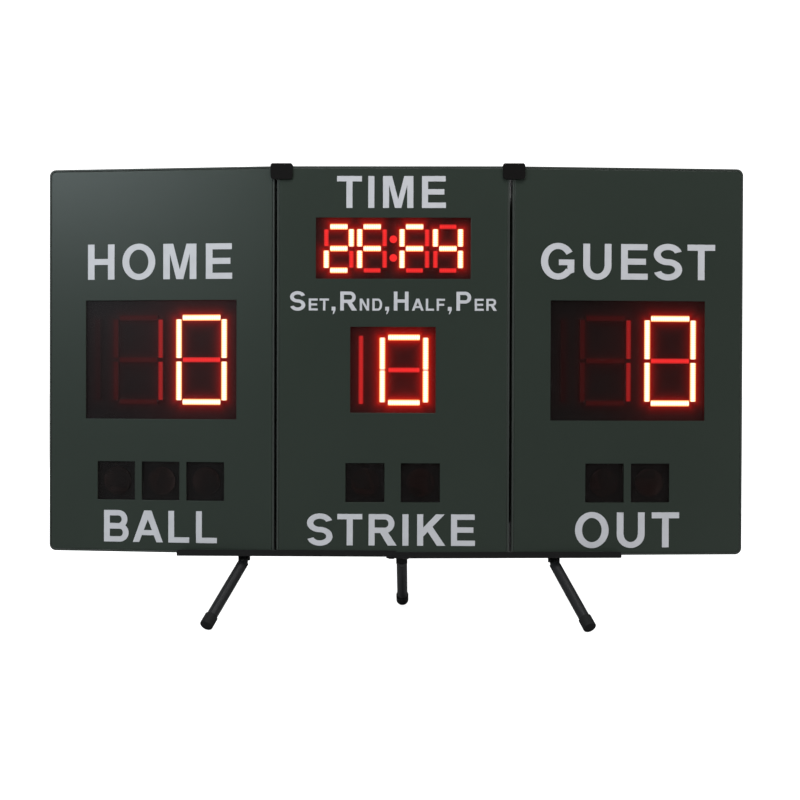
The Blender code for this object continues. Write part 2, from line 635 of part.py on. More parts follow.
def door_guides(cover, x, size):
    """A lipped guide at each side of the door, and the stop under it."""
    low, high = around(HOLDER_Z, size[1])
    guides = bmesh.new()
    for side in (-1, 1):
        inner = x + side * (size[0] / 2 + GAP)
        outer = inner + side * DOOR_GUIDE
        lip = inner - side * (DOOR_GUIDE + GAP)
        ring = [
            (inner, WALL_MIDDLE),
            (outer, WALL_MIDDLE),
            (outer, DOOR_GUIDE_TOP),
            (lip, DOOR_GUIDE_TOP),
            (lip, DOOR_BACK + GAP),
            (inner, DOOR_BACK + GAP),
        ]
        add_loft(guides, [at_height(ring, low), at_height(ring, high)])
    add_box(guides, around(x, size[0]), (WALL_MIDDLE, DOOR_BACK), (low - GAP - DOOR_GUIDE, low - GAP))
    join(cover, guides)


def power_switch(cover, x, parent, looks):
    """A switch body through the back, and its rocker standing at one end of its travel."""
    width, depth, height = SWITCH_BODY
    hole = (INNER_BACK - CUT, PANEL_THICKNESS + CUT)
    cut(cover, box(around(x, width + 2 * GAP), hole, around(SWITCH_Z, height + 2 * GAP)))
    bezel = BACK + SWITCH_WALL
    block = box(around(x, width), (BACK - depth, bezel - BITE), around(SWITCH_Z, height))
    body = piece("power_switch_body", block, looks["black"], parent)
    rim = 2 * SWITCH_BEZEL
    join(body, box(around(x, width + rim), (BACK, bezel), around(SWITCH_Z, height + rim)))
    walls = 2 * SWITCH_WALL
    well = (BACK - SWITCH_WELL, bezel + CUT)
    cut(body, box(around(x, width - walls), well, around(SWITCH_Z, height - walls)))
    pivot = carrier("power_rocker_pivot", (x, BACK, SWITCH_Z), Matrix.Rotation(ROCKER_TILT, 4, "X"), parent)
    half_x = (width - walls) / 2 - GAP
    half_z = (height - walls) / 2 - ROCKER_END_PLAY
    rise = SWITCH_WALL + ROCKER_RISE
    ring = [(-ROCKER_DROP, -half_z / 2), (0, -half_z), (rise, -half_z), (SWITCH_WALL, 0)]
    ring += [(rise, half_z), (0, half_z), (-ROCKER_DROP, half_z / 2)]
    bm = bmesh.new()
    add_loft(bm, [[(side, a, b) for a, b in ring] for side in (-half_x, half_x)])
    piece("power_rocker", bm, looks["black"], pivot)


def knuckle_spans(numbers):
    """Heights of the numbered knuckles, with a gap where two knuckles meet."""
    pitch = HINGE_LENGTH / KNUCKLES
    spans = []
    for number in numbers:
        low = HINGE_MARGIN + number * pitch + (KNUCKLE_GAP / 2 if number else 0)
        high = HINGE_MARGIN + (number + 1) * pitch - (KNUCKLE_GAP / 2 if number < KNUCKLES - 1 else 0)
        spans.append((low, high))
    return spans


def finish_leaf(leaf, axis, tab, numbers):
    """A tab and a barrel for each numbered knuckle, and the bore through them all."""
    tabs = bmesh.new()
    barrels = bmesh.new()
    for low, high in knuckle_spans(numbers):
        add_box(tabs, *tab, (low, high))
        add_cylinder(barrels, (*axis, low), "Z", BARREL_RADIUS, high - low, segments=16, turn=math.pi / 16)
    join(leaf, tabs)
    join(leaf, barrels)
    below = (*axis, HINGE_MARGIN - CUT)
    cut(leaf, cylinder(below, "Z", HINGE_BORE_RADIUS, HINGE_LENGTH + 2 * CUT, segments=12))


def flat_leaf(name, side, axis, numbers, look, parent):
    """A leaf that lies on the back, with its barrel resting there too. Side is where the leaf lies."""
    x, y = axis
    foot = y - BARREL_RADIUS
    sheet = (foot, foot + LEAF_THICKNESS)
    near = x + side * (BARREL_RADIUS + KNUCKLE_GAP)
    height = (HINGE_MARGIN, HINGE_MARGIN + HINGE_LENGTH)
    leaf = piece(name, box((near, x + side * LEAF_WIDTH), sheet, height), look, parent)
    finish_leaf(leaf, axis, ((x, near + side * BITE), sheet), numbers)


def raised_leaf(name, side, axis, foot, numbers, look, parent):
    """A leaf whose arm stands the barrel off the back by a folded wing. Foot is its place on the back."""
    x, y = axis
    sheet = (foot, foot + OFFSET_LEAF_THICKNESS)
    arm = (x + side * GAP, x + side * (GAP + OFFSET_LEAF_THICKNESS))
    height = (HINGE_MARGIN, HINGE_MARGIN + HINGE_LENGTH)
    leaf = piece(name, box((arm[0], x + side * LEAF_WIDTH), sheet, height), look, parent)
    arm_end = y - BARREL_RADIUS - KNUCKLE_GAP
    join(leaf, box(arm, (foot + BITE, arm_end), height))
    finish_leaf(leaf, axis, (arm, (arm_end - BITE, y)), numbers)


def hinges(board, home, guest, looks):
    centre_knuckles = range(0, KNUCKLES, 2)
    wing_knuckles = range(1, KNUCKLES, 2)
    steel = looks["steel"]
    flat_leaf("home_hinge_centre_leaf", 1, HOME_AXIS, centre_knuckles, steel, board)
    flat_leaf("home_hinge_wing_leaf", -1, (0, 0), wing_knuckles, steel, home)
    raised_leaf("guest_hinge_centre_leaf", -1, GUEST_AXIS, BACK, centre_knuckles, steel, board)
    raised_leaf("guest_hinge_wing_leaf", 1, (0, 0), BACK - GUEST_AXIS[1], wing_knuckles, steel, guest)
    for name, axis in (("home_hinge_pin", HOME_AXIS), ("guest_hinge_pin", GUEST_AXIS)):
        pin = cylinder((*axis, HINGE_MARGIN), "Z", HINGE_PIN_RADIUS, HINGE_LENGTH, segments=12)
        piece(name, pin, steel, board)


def saddle_clip(name, seam, shift, board, looks):
    """Over both panels at a seam, with its rear wall behind the centre panel only."""
    inward = -1 if seam > 0 else 1
    x = seam + inward * shift
    slider = carrier(f"{name}_slide", (x, 0, PANEL_HEIGHT), parent=board)
    half = CLIP_WIDTH / 2
    top = GAP + CLIP_TOP
    bottom = GAP - CLIP_DROP
    centre = (half - CLIP_CORNER, bottom + CLIP_CORNER)
    quarter = [math.pi / 2 * step / 4 for step in range(5)]
    arc = [(centre[0] + CLIP_CORNER * math.cos(a), centre[1] - CLIP_CORNER * math.sin(a)) for a in quarter]
    ring = arc + [(-a, b) for a, b in reversed(arc)]
    edge = top - CLIP_EDGE
    crown = [(-half, edge), (CLIP_EDGE - half, top), (half - CLIP_EDGE, top), (half, edge)]
    ring += crown
    clip = piece(name, prism(ring, -GAP - CLIP_WALL, -GAP), looks["rail"], slider)
    rear = BACK + CLIP_WALL
    saddle = [(half, GAP), (-half, GAP)] + [(x, z - SKIN) for x, z in crown]
    join(clip, prism(saddle, -GAP - BITE, rear))
    end = seam - x + inward * CLIP_SWING_CLEARANCE
    join(clip, box((end, inward * half), (BACK, rear - SKIN), (centre[1], top - CLIP_EDGE)))


def rail_half(name, side, parent, looks):
    """A folded sheet with a ledge, a front lip and a rear lip. Side is -1 for home and 1 for guest."""
    drop = 0 if side < 0 else LAP_DROP
    end = side * RAIL_LENGTH / 2
    split = RAIL_SPLIT + side * GAP / 2
    bottom = -GAP - RAIL_SHEET - drop
    lip = RAIL_LIP - drop
    front = -GAP - RAIL_SHEET
    rear = BACK + RAIL_SHEET
    quarter = [math.pi / 2 * step / 3 for step in range(4)]
    ring = [(split, bottom)]
    for a in quarter:
        ring.append((end - side * RAIL_EDGE * (1 - math.sin(a)), bottom + RAIL_EDGE * (1 - math.cos(a))))
    for a in quarter:
        ring.append((end - side * RAIL_CORNER * (1 - math.cos(a)), lip - RAIL_CORNER * (1 - math.sin(a))))
    ring.append((split, lip))
    rail = piece(name, prism(ring, front, -GAP), looks["rail"], parent)

    ledge_end = end - side * RAIL_EDGE
    lap = -side * RAIL_LAP
    plan = [(ledge_end, front + BITE), (split, front + BITE), (split, 0)]
    plan += [(lap, 0), (lap, rear), (ledge_end, rear)]
    ledge = bmesh.new()
    add_loft(ledge, [at_height(plan, bottom), at_height(plan, bottom + RAIL_SHEET)])
    join(rail, ledge)
    lip_end = side * (HALF_CENTRE - RAIL_REAR_INSET) - STAND_SHIFT
    rear_lip = (lip_end, lip_end - side * RAIL_REAR_LIP_LENGTH)
    join(rail, box(rear_lip, (BACK, rear - SKIN), (bottom + BITE, RAIL_REAR_LIP)))
    holes = bmesh.new()
    for x in around(0, RIVET_PITCH):
        start = (x, RIVET_Y, bottom - CUT)
        add_cylinder(holes, start, "Z", RIVET_RADIUS + GAP, RAIL_SHEET + 2 * CUT, segments=16)
    cut(rail, holes)


def rail_rivet(name, x, parent, looks):
    """Holds the two ledges together where they lap, flush with the upper one."""
    under = -2 * GAP - RAIL_SHEET - LAP_DROP
    start = (x, RIVET_Y, under - RIVET_HEAD_HEIGHT)
    head = cylinder(start, "Z", RIVET_HEAD_RADIUS, RIVET_HEAD_HEIGHT, segments=20)
    rivet = piece(name, head, looks["steel"], parent)
    root = under - BITE
    join(rivet, cylinder((x, RIVET_Y, root), "Z", RIVET_RADIUS, -GAP - root, segments=16))


def leg_bracket(name, mount, lean, rail_drop, looks):
    """A tab that goes into the leg's slot, and its seat under the rail, which lies lower by rail_drop."""
    half = TAB_THICKNESS / 2
    arc = [math.pi * (1 + step / 12) for step in range(13)]
    ring = [(TAB_RADIUS * math.cos(a), TAB_RADIUS * math.sin(a)) for a in arc]
    ring += [(TAB_RADIUS, TAB_REACH), (-TAB_RADIUS, TAB_REACH)]
    tab = piece(name, prism(ring, -half, half), looks["rail"], mount)
    tilt = Matrix.Rotation(lean, 4, "X").inverted()
    top = PIVOT_DROP - rail_drop - GAP
    backward = 1 if lean < 0 else -1
    near = backward * (LEG_RADIUS + SEAT_CLEARANCE)
    width, depth, height = BRACKET_SEAT
    seat = box(around(0, width), (near, near + backward * depth), (top - height, top + CUT))
    bmesh.ops.transform(seat, matrix=tilt, verts=seat.verts)
    join(tab, seat)
    wide = around(0, 4 * TAB_REACH)
    above = box(wide, wide, (top, wide[1]))
    bmesh.ops.transform(above, matrix=tilt, verts=above.verts)
    cut(tab, above)
    hole = LEG_PIN_RADIUS + LEG_PIN_PLAY
    cut(tab, cylinder((0, -half - CUT, 0), "Y", hole, 2 * (half + CUT), segments=12))


def leg_tube(name, swing, looks):
    """A tube with a solid, round top end, slotted for the bracket's tab."""
    tube_end = FOOT_FLOOR - LEG_LENGTH
    above = LEG_TOP + CUT
    solid = cylinder((0, 0, tube_end), "Z", LEG_RADIUS, above - tube_end, segments=20)
    tube = piece(name, solid, looks["tube"], swing)
    outside = LEG_RADIUS + CUT
    arc = [math.pi * step / 12 for step in range(13)]
    ring = [(LEG_RADIUS * math.cos(a), LEG_TOP * math.sin(a)) for a in arc]
    ring = [(outside, 0)] + ring + [(-outside, 0), (-outside, above + CUT), (outside, above + CUT)]
    cut(tube, prism(ring, -outside, outside))
    slot_floor = -TAB_RADIUS - 2 * GAP
    bore = (tube_end - CUT, slot_floor - LEG_PLUG)
    cut(tube, cylinder((0, 0, bore[0]), "Z", LEG_RADIUS - LEG_WALL, bore[1] - bore[0], segments=16))
    half = TAB_THICKNESS / 2 + GAP
    cut(tube, box((-outside, outside), (-half, half), (slot_floor, above)))
    hole = LEG_PIN_RADIUS + LEG_PIN_PLAY
    cut(tube, cylinder((0, -outside, 0), "Y", hole, 2 * outside, segments=12))


def foot_cap(name, swing, looks):
    """A rubber cup pushed over the end of a leg."""
    inner = LEG_RADIUS + GAP
    floor = FOOT_FLOOR - LEG_LENGTH - GAP
    top = FOOT_LENGTH - LEG_LENGTH
    quarter = [math.pi / 2 * step / 3 for step in range(4)]
    profile = [(inner, floor), (inner, top), (FOOT_RADIUS - FOOT_EDGE, top), (FOOT_RADIUS, top - FOOT_EDGE)]
    for a in quarter:
        radius = FOOT_RADIUS - FOOT_ROUND * (1 - math.cos(a))
        profile.append((radius, FOOT_ROUND * (1 - math.sin(a)) - LEG_LENGTH))
    segments = 24
    angles = [2 * math.pi * (i + 0.5) / segments for i in range(segments)]
    bm = bmesh.new()
    add_loft(bm, [[(r * math.cos(a), r * math.sin(a), z) for a in angles] for r, z in profile])
    piece(name, bm, looks["rubber"], swing)


def leg(name, place, lean, splay, rail_drop, parent, looks):
    """A bracket, its pin, and the leg that turns on it."""
    reach = LEG_RADIUS - GAP
    pivot = (*place, -GAP - RAIL_SHEET - PIVOT_DROP)
    tilted = Matrix.Rotation(lean, 4, "X")
    mount = carrier(f"{name}_bracket_mount", pivot, tilted, parent)
    leg_bracket(f"{name}_bracket", mount, lean, rail_drop, looks)
    pin = cylinder((0, -reach, 0), "Y", LEG_PIN_RADIUS, 2 * reach, segments=12)
    piece(f"{name}_pivot_pin", pin, looks["steel"], mount)
    swing = carrier(f"{name}_pivot", pivot, tilted @ Matrix.Rotation(splay, 4, "Y"), parent)
    leg_tube(f"{name}_tube", swing, looks)
    foot_cap(f"{name}_foot_cap", swing, looks)


def stand(looks):
    base = carrier("stand", (STAND_SHIFT, BOARD_Y, BOARD_Z))
    guest_lie = carrier("guest_rail_lie", (0, 0, 0), Matrix.Rotation(-GUEST_RAIL_RISE, 4, "Y"), base)
    rail_half("home_rail", -1, base, looks)
    rail_half("guest_rail", 1, guest_lie, looks)
    rail_rivet("home_rail_rivet", -RIVET_PITCH / 2, base, looks)
    rail_rivet("guest_rail_rivet", RIVET_PITCH / 2, base, looks)
    leg("home_leg", (-SIDE_PIVOT_X, SIDE_PIVOT_Y), -SIDE_LEAN, SIDE_SPLAY, 0, base, looks)
    leg("guest_leg", (SIDE_PIVOT_X, SIDE_PIVOT_Y), -SIDE_LEAN, -SIDE_SPLAY, GUEST_LEG_DROP, base, looks)
    leg("rear_leg", (REAR_LEG_SHIFT, REAR_PIVOT_Y), LEG_TILT, 0, LAP_DROP, base, looks)


def scoreboard(looks):
    board = carrier("board", (0, BOARD_Y, BOARD_Z))
    centre_panel(board, looks)
    home = carrier("home_wing", (*HOME_AXIS, 0), Matrix.Rotation(-HOME_WING_FOLD, 4, "Z"), board)
    guest = carrier("guest_wing", (*GUEST_AXIS, 0), Matrix.Rotation(GUEST_WING_FOLD, 4, "Z"), board)
    wing(-1, "home", "ball", 3, HOME_AXIS, home, looks)
    wing(1, "guest", "out", 2, GUEST_AXIS, guest, looks)
    hinges(board, home, guest, looks)
    saddle_clip("home_seam_clip", -SEAM, HOME_CLIP_SHIFT, board, looks)
    saddle_clip("guest_seam_clip", SEAM, GUEST_CLIP_SHIFT, board, looks)


def main():
    for old in list(bpy.data.objects):
        bpy.data.objects.remove(old)
    looks = {
        "green": material("scoreboard_green", (0.028, 0.038, 0.029), 0.38),
        "cover": material("cover_grey_green", (0.024, 0.030, 0.026), 0.5),
        "smoke": material("smoked_lens", (0.012, 0.009, 0.008), 0.25),
        "circuit": material("circuit_board", (0.02, 0.10, 0.04), 0.5),
        "black": material("black_plastic", (0.012, 0.012, 0.012), 0.45),
        "rubber": material("black_rubber", (0.012, 0.012, 0.012), 0.8),
        "rail": material("black_coated_sheet", (0.008, 0.007, 0.007), 0.45),
        "tube": material("black_coated_tube", (0.02, 0.02, 0.02), 0.4),
        "steel": material("hinge_steel", (0.35, 0.35, 0.36), 0.35, 1.0),
        "cell": material("battery_cell", (0.10, 0.10, 0.11), 0.35),
    }
    stand(looks)
    scoreboard(looks)
    bpy.context.view_layer.update()


main()
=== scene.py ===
"""Looks of the three-panel folding scoreboard on its rail stand.

A panel's flat coordinates have X = 0 in the middle of the board, Y = 0 on its front and Z = 0 on its
bottom edge. Lengths are in metres.
"""

import json
import math

import bmesh
import bpy
from mathutils import Matrix, Vector


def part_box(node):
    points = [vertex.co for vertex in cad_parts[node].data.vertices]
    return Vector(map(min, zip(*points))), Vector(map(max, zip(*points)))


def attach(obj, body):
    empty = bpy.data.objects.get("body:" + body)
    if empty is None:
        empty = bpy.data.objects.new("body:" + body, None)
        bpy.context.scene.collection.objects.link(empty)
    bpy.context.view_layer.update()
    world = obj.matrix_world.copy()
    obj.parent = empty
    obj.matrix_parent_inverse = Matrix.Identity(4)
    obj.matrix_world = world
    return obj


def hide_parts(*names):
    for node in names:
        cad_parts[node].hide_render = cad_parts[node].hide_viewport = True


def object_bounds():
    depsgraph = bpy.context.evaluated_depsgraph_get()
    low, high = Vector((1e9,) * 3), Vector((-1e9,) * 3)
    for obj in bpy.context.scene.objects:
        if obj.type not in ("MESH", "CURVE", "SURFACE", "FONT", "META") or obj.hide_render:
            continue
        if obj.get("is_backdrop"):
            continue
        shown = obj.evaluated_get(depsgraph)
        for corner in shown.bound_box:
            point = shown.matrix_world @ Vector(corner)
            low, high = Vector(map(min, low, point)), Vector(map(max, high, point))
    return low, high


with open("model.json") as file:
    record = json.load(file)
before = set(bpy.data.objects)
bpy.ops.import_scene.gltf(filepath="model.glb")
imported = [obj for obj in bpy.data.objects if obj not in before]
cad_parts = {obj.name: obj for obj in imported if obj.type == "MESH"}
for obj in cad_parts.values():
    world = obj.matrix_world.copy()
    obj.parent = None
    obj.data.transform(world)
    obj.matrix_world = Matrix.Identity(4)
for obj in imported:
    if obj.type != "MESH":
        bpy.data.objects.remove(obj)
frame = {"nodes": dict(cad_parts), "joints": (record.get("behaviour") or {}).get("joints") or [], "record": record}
CAD_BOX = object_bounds()

# Camera. Its place is given in flat coordinates.
CAMERA_PLACE = Vector((0.02552, -1.3317, 0.19073))
CAMERA_YAW = math.radians(-0.747)
CAMERA_PITCH = math.radians(0.452)
CAMERA_ROLL = math.radians(0.17)
FOCAL_LENGTH = 52.58
FRAME_SHIFT = -0.00368

# Board
WING_FOLDS = {"home_wing": math.radians(-5.5), "guest_wing": math.radians(3.8)}
PANEL_BACK = 0.026
SCORE_WINDOW = (0.1779, 0.1364)
CLOCK_WINDOW = (0.1759, 0.0691)
PERIOD_WINDOW = (0.0969, 0.0974)
WINDOW_X = {"home_wing": -0.26615, "guest_wing": 0.26615}
SCORE_Z = 0.2224
CLOCK_Z = 0.3497
PERIOD_Z = 0.2111
PANE_FRONT = 0.0002
PANE_BACK = 0.0031
FLANGE_FRONT = 0.0023
FLANGE = 0.0033
GRID = 0.001  # spacing of the corners that carry a pane's glow

# What each pane scatters: a halo beside the brightest light, and a haze from every light
HALO_REACH = 0.0037
HAZE_REACH = 0.02
SCATTER = {"home": (0.6, 0.018), "guest": (0.7, 0.022), "clock": (0.95, 0.007), "period": (1.35, 0.035)}
UNLIT_POWER = 0.25  # how much of its level a bar that isn't lit gives the pane

LAMP_Z = 0.0824
LAMPS = {"ball": (-0.31895, -0.26615, -0.21335), "strike": (-0.0316, 0.0316), "out": (0.23975, 0.29255)}
LAMP_RADIUS = 0.016
LAMP_FACE = 0.0046  # how deep it lies

# Ribs of a lamp face: how many, width of the slope and of the flat, and height
LAMP_RIBS = 4
LAMP_RIB = (0.0012, 0.0018, 0.0002)

# Digits: width and height, thickness of a bar, gap beside the level bars, gap between the upright bars,
# and how far these end below the top bar's middle
SCORE_DIGIT = (0.0598, 0.1035, 0.0064, 0.0012, 0.0042, 0.0019)
CLOCK_DIGIT = (0.0346, 0.0558, 0.0060, 0.0014, 0.0048, 0.0028)
PERIOD_DIGIT = (0.0557, 0.0807, 0.0062, 0.0036, 0.0012, 0.0004)
DIGIT_PITCH = 0.0751
SCORE_ONES = {"home_wing": 0.0473, "guest_wing": 0.0499}  # from the middle of the window
SCORE_ONE = (-0.0486, 0.094)  # a leading bar: its place from the tens digit's middle, and its length
CLOCK_DIGITS = (-0.0623, -0.0242, 0.0242, 0.0623)
COLON_RISE = 0.0106
COLON_RADIUS = 0.00435
PERIOD_ONES = 0.0125
PERIOD_ONE = (-0.03665, 0.0784)  # a leading bar: its place, and its length
BAR_FRONT = 0.0034
BAR_BACK = 0.0036
BAR_CORNER = 0.0009
BAR_SPREAD = 0.0003  # a bar that isn't lit falls short by this much all round
LIT_SPREAD = 0.0003  # a lit one goes past its place by this much on both long sides
BAR_EDGE = 0.4  # width of the faces along the edge of a bar, as a share of its half thickness
LIGHT_PITCH = 0.0026  # of the ripple along a bar
DOT_HEAT = 0.3  # a colon dot glows as a bar does this far from its middle line

# How bright a bar is: lit, glowing by its neighbours' light, soft, dim, faint, and hardly seen
LIT = 1.0
GLOW = 0.42
SOFT = 0.33
DIM = 0.27
FAINT = 0.15
DARK = 0.06

# Letters, in cap heights: upright and level strokes, space between letters, and how far round ones go past
STEM = 0.19
STROKE = 0.17
TRACKING = 0.07
OVERSHOOT = 0.015
BOWL_REACH = 0.34  # of the arc in a B, D, P or R
OVERLAP = 0.01
ROUND_STEM = STEM * 1.04  # round letters are a little heavier at their sides

# Paint of a letter: how far it stands out, and how far each stroke lies in front of the one before
PRINT_DEPTH = 0.00006
PRINT_STEP = 0.000004

# Arcs of a letter: degrees in a step, and the fewest steps
ARC_STEP = 8
ARC_MIN_STEPS = 8

# Screws: heights of their rows, radius and height of a head
WING_SCREW_ROWS = (0.032, 0.300, 0.411)
CENTRE_SCREW_ROWS = (0.032, 0.118, 0.411)
COVER_SCREW = (0.0028, 0.0008)
LEAF_SCREW = (0.0018, 0.0005)
CENTRE_SCREW_X = 0.1025
WING_SCREW_X = (0.1629, 0.3844)
LEAF_SCREWS = 5
LEAF_FOOT = 0.034
LEAF_PITCH = 0.075

# A screw's head, in shares of its radius and height: its flat top, the ring on it, and the socket
HEAD_TOP = 0.8
HEAD_RING = 0.35
SOCKET_WALL = 0.06
SOCKET_DEPTH = 0.6

# Hinge leaves: body, place of the screws across, and depth of the outer face
HINGE_LEAVES = {
    "home_centre_leaf": ("board", -0.1218, 0.0273),
    "home_wing_leaf": ("home_wing", -0.1478, 0.0273),
    "guest_centre_leaf": ("board", 0.1187, 0.0277),
    "guest_wing_leaf": ("guest_wing", 0.1467, 0.0277),
}

CELL_BAND_PITCH = 0.0253  # the pale band shows once in twice this length
EASED_CORNER = math.radians(35)  # edges sharper than this are rounded
ROUND = 24  # sides of a small circle

BOARD = Vector((0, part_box("centre_rear_cover")[0][1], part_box("centre_rear_cover")[0][2]))
HINGES = {joint["child"]: Vector(joint["pos_m"]) for joint in frame["joints"] if "wing" in joint["child"]}
MATERIALS = {}


def placement(body):
    """From a panel's flat coordinates to the row's."""
    flat = Matrix.Translation(BOARD)
    if body not in WING_FOLDS:
        return flat
    hinge = HINGES[body]
    turn = Matrix.Rotation(WING_FOLDS[body], 4, "Z")
    return Matrix.Translation(hinge) @ turn @ Matrix.Translation(-hinge) @ flat


def srgb(red, green, blue):
    """A colour given as it looks on a screen, from 0 to 255."""
    parts = []
    for value in (red, green, blue):
        value /= 255
        parts.append(value / 12.92 if value <= 0.04045 else ((value + 0.055) / 1.055) ** 2.4)
    return (*parts, 1.0)


# Materials


def add_node(tree, kind, settings=None, **values):
    node = tree.nodes.new(kind)
    for key, value in (settings or {}).items():
        setattr(node, key, value)
    for key, value in values.items():
        node.inputs[key.replace("_", " ")].default_value = value
    return node


def grain_group():
    """Slow changes of shade and a fine grain, for any finish."""
    tree = bpy.data.node_groups.new("moulded_grain", "ShaderNodeTree")
    sockets = (
        ("Colour", "NodeSocketColor", "INPUT"),
        ("Second Colour", "NodeSocketColor", "INPUT"),
        ("Patch Scale", "NodeSocketFloat", "INPUT"),
        ("Grain Scale", "NodeSocketFloat", "INPUT"),
        ("Roughness", "NodeSocketFloat", "INPUT"),
        ("Roughness Change", "NodeSocketFloat", "INPUT"),
        ("Relief", "NodeSocketFloat", "INPUT"),
        ("Colour", "NodeSocketColor", "OUTPUT"),
        ("Roughness", "NodeSocketFloat", "OUTPUT"),
        ("Normal", "NodeSocketVector", "OUTPUT"),
    )
    for name, kind, way in sockets:
        tree.interface.new_socket(name=name, in_out=way, socket_type=kind)
    given = tree.nodes.new("NodeGroupInput")
    result = tree.nodes.new("NodeGroupOutput")
    place = tree.nodes.new("ShaderNodeTexCoord")
    patches = add_node(tree, "ShaderNodeTexNoise", Detail=4.0, Roughness=0.55)
    grain = add_node(tree, "ShaderNodeTexNoise", Detail=3.0, Roughness=0.6)
    mix = add_node(tree, "ShaderNodeMix", {"data_type": "RGBA"})
    spread = add_node(tree, "ShaderNodeMapRange", From_Min=0.3, From_Max=0.7)
    change = add_node(tree, "ShaderNodeMath", {"operation": "MULTIPLY_ADD"})
    centred = add_node(tree, "ShaderNodeMath", {"operation": "SUBTRACT"})
    centred.inputs[1].default_value = 0.5
    bump = add_node(tree, "ShaderNodeBump", Distance=0.0004)
    link = tree.links.new
    link(place.outputs["Object"], patches.inputs["Vector"])
    link(place.outputs["Object"], grain.inputs["Vector"])
    link(given.outputs["Patch Scale"], patches.inputs["Scale"])
    link(given.outputs["Grain Scale"], grain.inputs["Scale"])
    link(patches.outputs["Fac"], spread.inputs["Value"])
    link(spread.outputs["Result"], mix.inputs["Factor"])
    link(given.outputs[0], mix.inputs["A"])
    link(given.outputs["Second Colour"], mix.inputs["B"])
    link(grain.outputs["Fac"], centred.inputs[0])
    link(centred.outputs[0], change.inputs[0])
    link(given.outputs["Roughness Change"], change.inputs[1])
    link(given.outputs["Roughness"], change.inputs[2])
    link(grain.outputs["Fac"], bump.inputs["Height"])
    link(given.outputs["Relief"], bump.inputs["Strength"])
    link(mix.outputs["Result"], result.inputs[0])
    link(change.outputs[0], result.inputs["Roughness"])
    link(bump.outputs["Normal"], result.inputs["Normal"])
    return tree


def shader_of(name):
    made = bpy.data.materials.new(name)
    made.use_nodes = True
    MATERIALS[name] = made
    return made.node_tree, made.node_tree.nodes["Principled BSDF"]


def finish(name, colour, second, rough, change=0.1, patch=9.0, grain=900.0, relief=0.12, **sockets):
    """A grained material. Further sockets of the shader keep one value all over."""
    tree, shader = shader_of(name)
    group = tree.nodes.new("ShaderNodeGroup")
    group.node_tree = bpy.data.node_groups.get("moulded_grain") or grain_group()
    values = (colour, second, patch, grain, rough, change, relief)
    for socket, value in zip(group.inputs, values):
        socket.default_value = value
    tree.links.new(group.outputs["Colour"], shader.inputs["Base Color"])
    tree.links.new(group.outputs["Roughness"], shader.inputs["Roughness"])
    tree.links.new(group.outputs["Normal"], shader.inputs["Normal"])
    for key, value in sockets.items():
        shader.inputs[key.replace("_", " ")].default_value = value
    return tree, shader


def ramp_node(tree, stops):
    node = tree.nodes.new("ShaderNodeValToRGB")
    elements = node.color_ramp.elements
    elements[0].position, elements[0].color = stops[0][0], (*stops[0][1], 1)
    elements[1].position, elements[1].color = stops[-1][0], (*stops[-1][1], 1)
    for place, colour in stops[1:-1]:
        elements.new(place).color = (*colour, 1)
    return node


def light_bar_material():
    """Bars lit from within: hot in the middle, red at the edge, with a ripple from the lights in a row."""
    tree, shader = shader_of("light_bar")
    shader.inputs["Base Color"].default_value = (0.004, 0.001, 0.001, 1)
    shader.inputs["Roughness"].default_value = 0.6
    shader.inputs["Specular IOR Level"].default_value = 0.1
    shader.inputs["Emission Strength"].default_value = 2.7
    level = add_node(tree, "ShaderNodeAttribute", {"attribute_name": "level"})
    along = add_node(tree, "ShaderNodeUVMap", {"uv_map": "bar"})
    split = tree.nodes.new("ShaderNodeSeparateXYZ")
    square = add_node(tree, "ShaderNodeMath", {"operation": "MULTIPLY"})
    edge = add_node(tree, "ShaderNodeMapRange", From_Min=0.0, From_Max=1.0, To_Min=1.0, To_Max=0.66)
    turn = add_node(tree, "ShaderNodeMath", {"operation": "MULTIPLY"})
    turn.inputs[1].default_value = 2 * math.pi
    wave = add_node(tree, "ShaderNodeMath", {"operation": "COSINE"})
    ripple = add_node(tree, "ShaderNodeMapRange", From_Min=-1.0, From_Max=1.0, To_Min=0.9, To_Max=1.0)
    heat = add_node(tree, "ShaderNodeMath", {"operation": "MULTIPLY"})
    heat_at = add_node(tree, "ShaderNodeMath", {"operation": "MULTIPLY"})
    colours = ramp_node(
        tree,
        (
            (0.0, (0.0004, 0.0001, 0.0001)),
            (0.06, (0.0022, 0.0002, 0.0002)),
            (0.15, (0.018, 0.0008, 0.0008)),
            (0.27, (0.26, 0.008, 0.008)),
            (0.42, (0.74, 0.02, 0.02)),
            (0.58, (0.95, 0.1, 0.02)),
            (0.74, (1.0, 0.5, 0.16)),
            (0.86, (1.0, 0.9, 0.6)),
            (1.0, (1.0, 0.98, 0.88)),
        ),
    )
    link = tree.links.new
    link(along.outputs["UV"], split.inputs[0])
    link(split.outputs["Y"], square.inputs[0])
    link(split.outputs["Y"], square.inputs[1])
    link(square.outputs[0], edge.inputs["Value"])
    link(split.outputs["X"], turn.inputs[0])
    link(turn.outputs[0], wave.inputs[0])
    link(wave.outputs[0], ripple.inputs["Value"])
    link(edge.outputs["Result"], heat.inputs[0])
    link(ripple.outputs["Result"], heat.inputs[1])
    link(heat.outputs[0], heat_at.inputs[0])
    link(level.outputs["Fac"], heat_at.inputs[1])
    link(heat_at.outputs[0], colours.inputs["Fac"])
    link(colours.outputs["Color"], shader.inputs["Emission Color"])


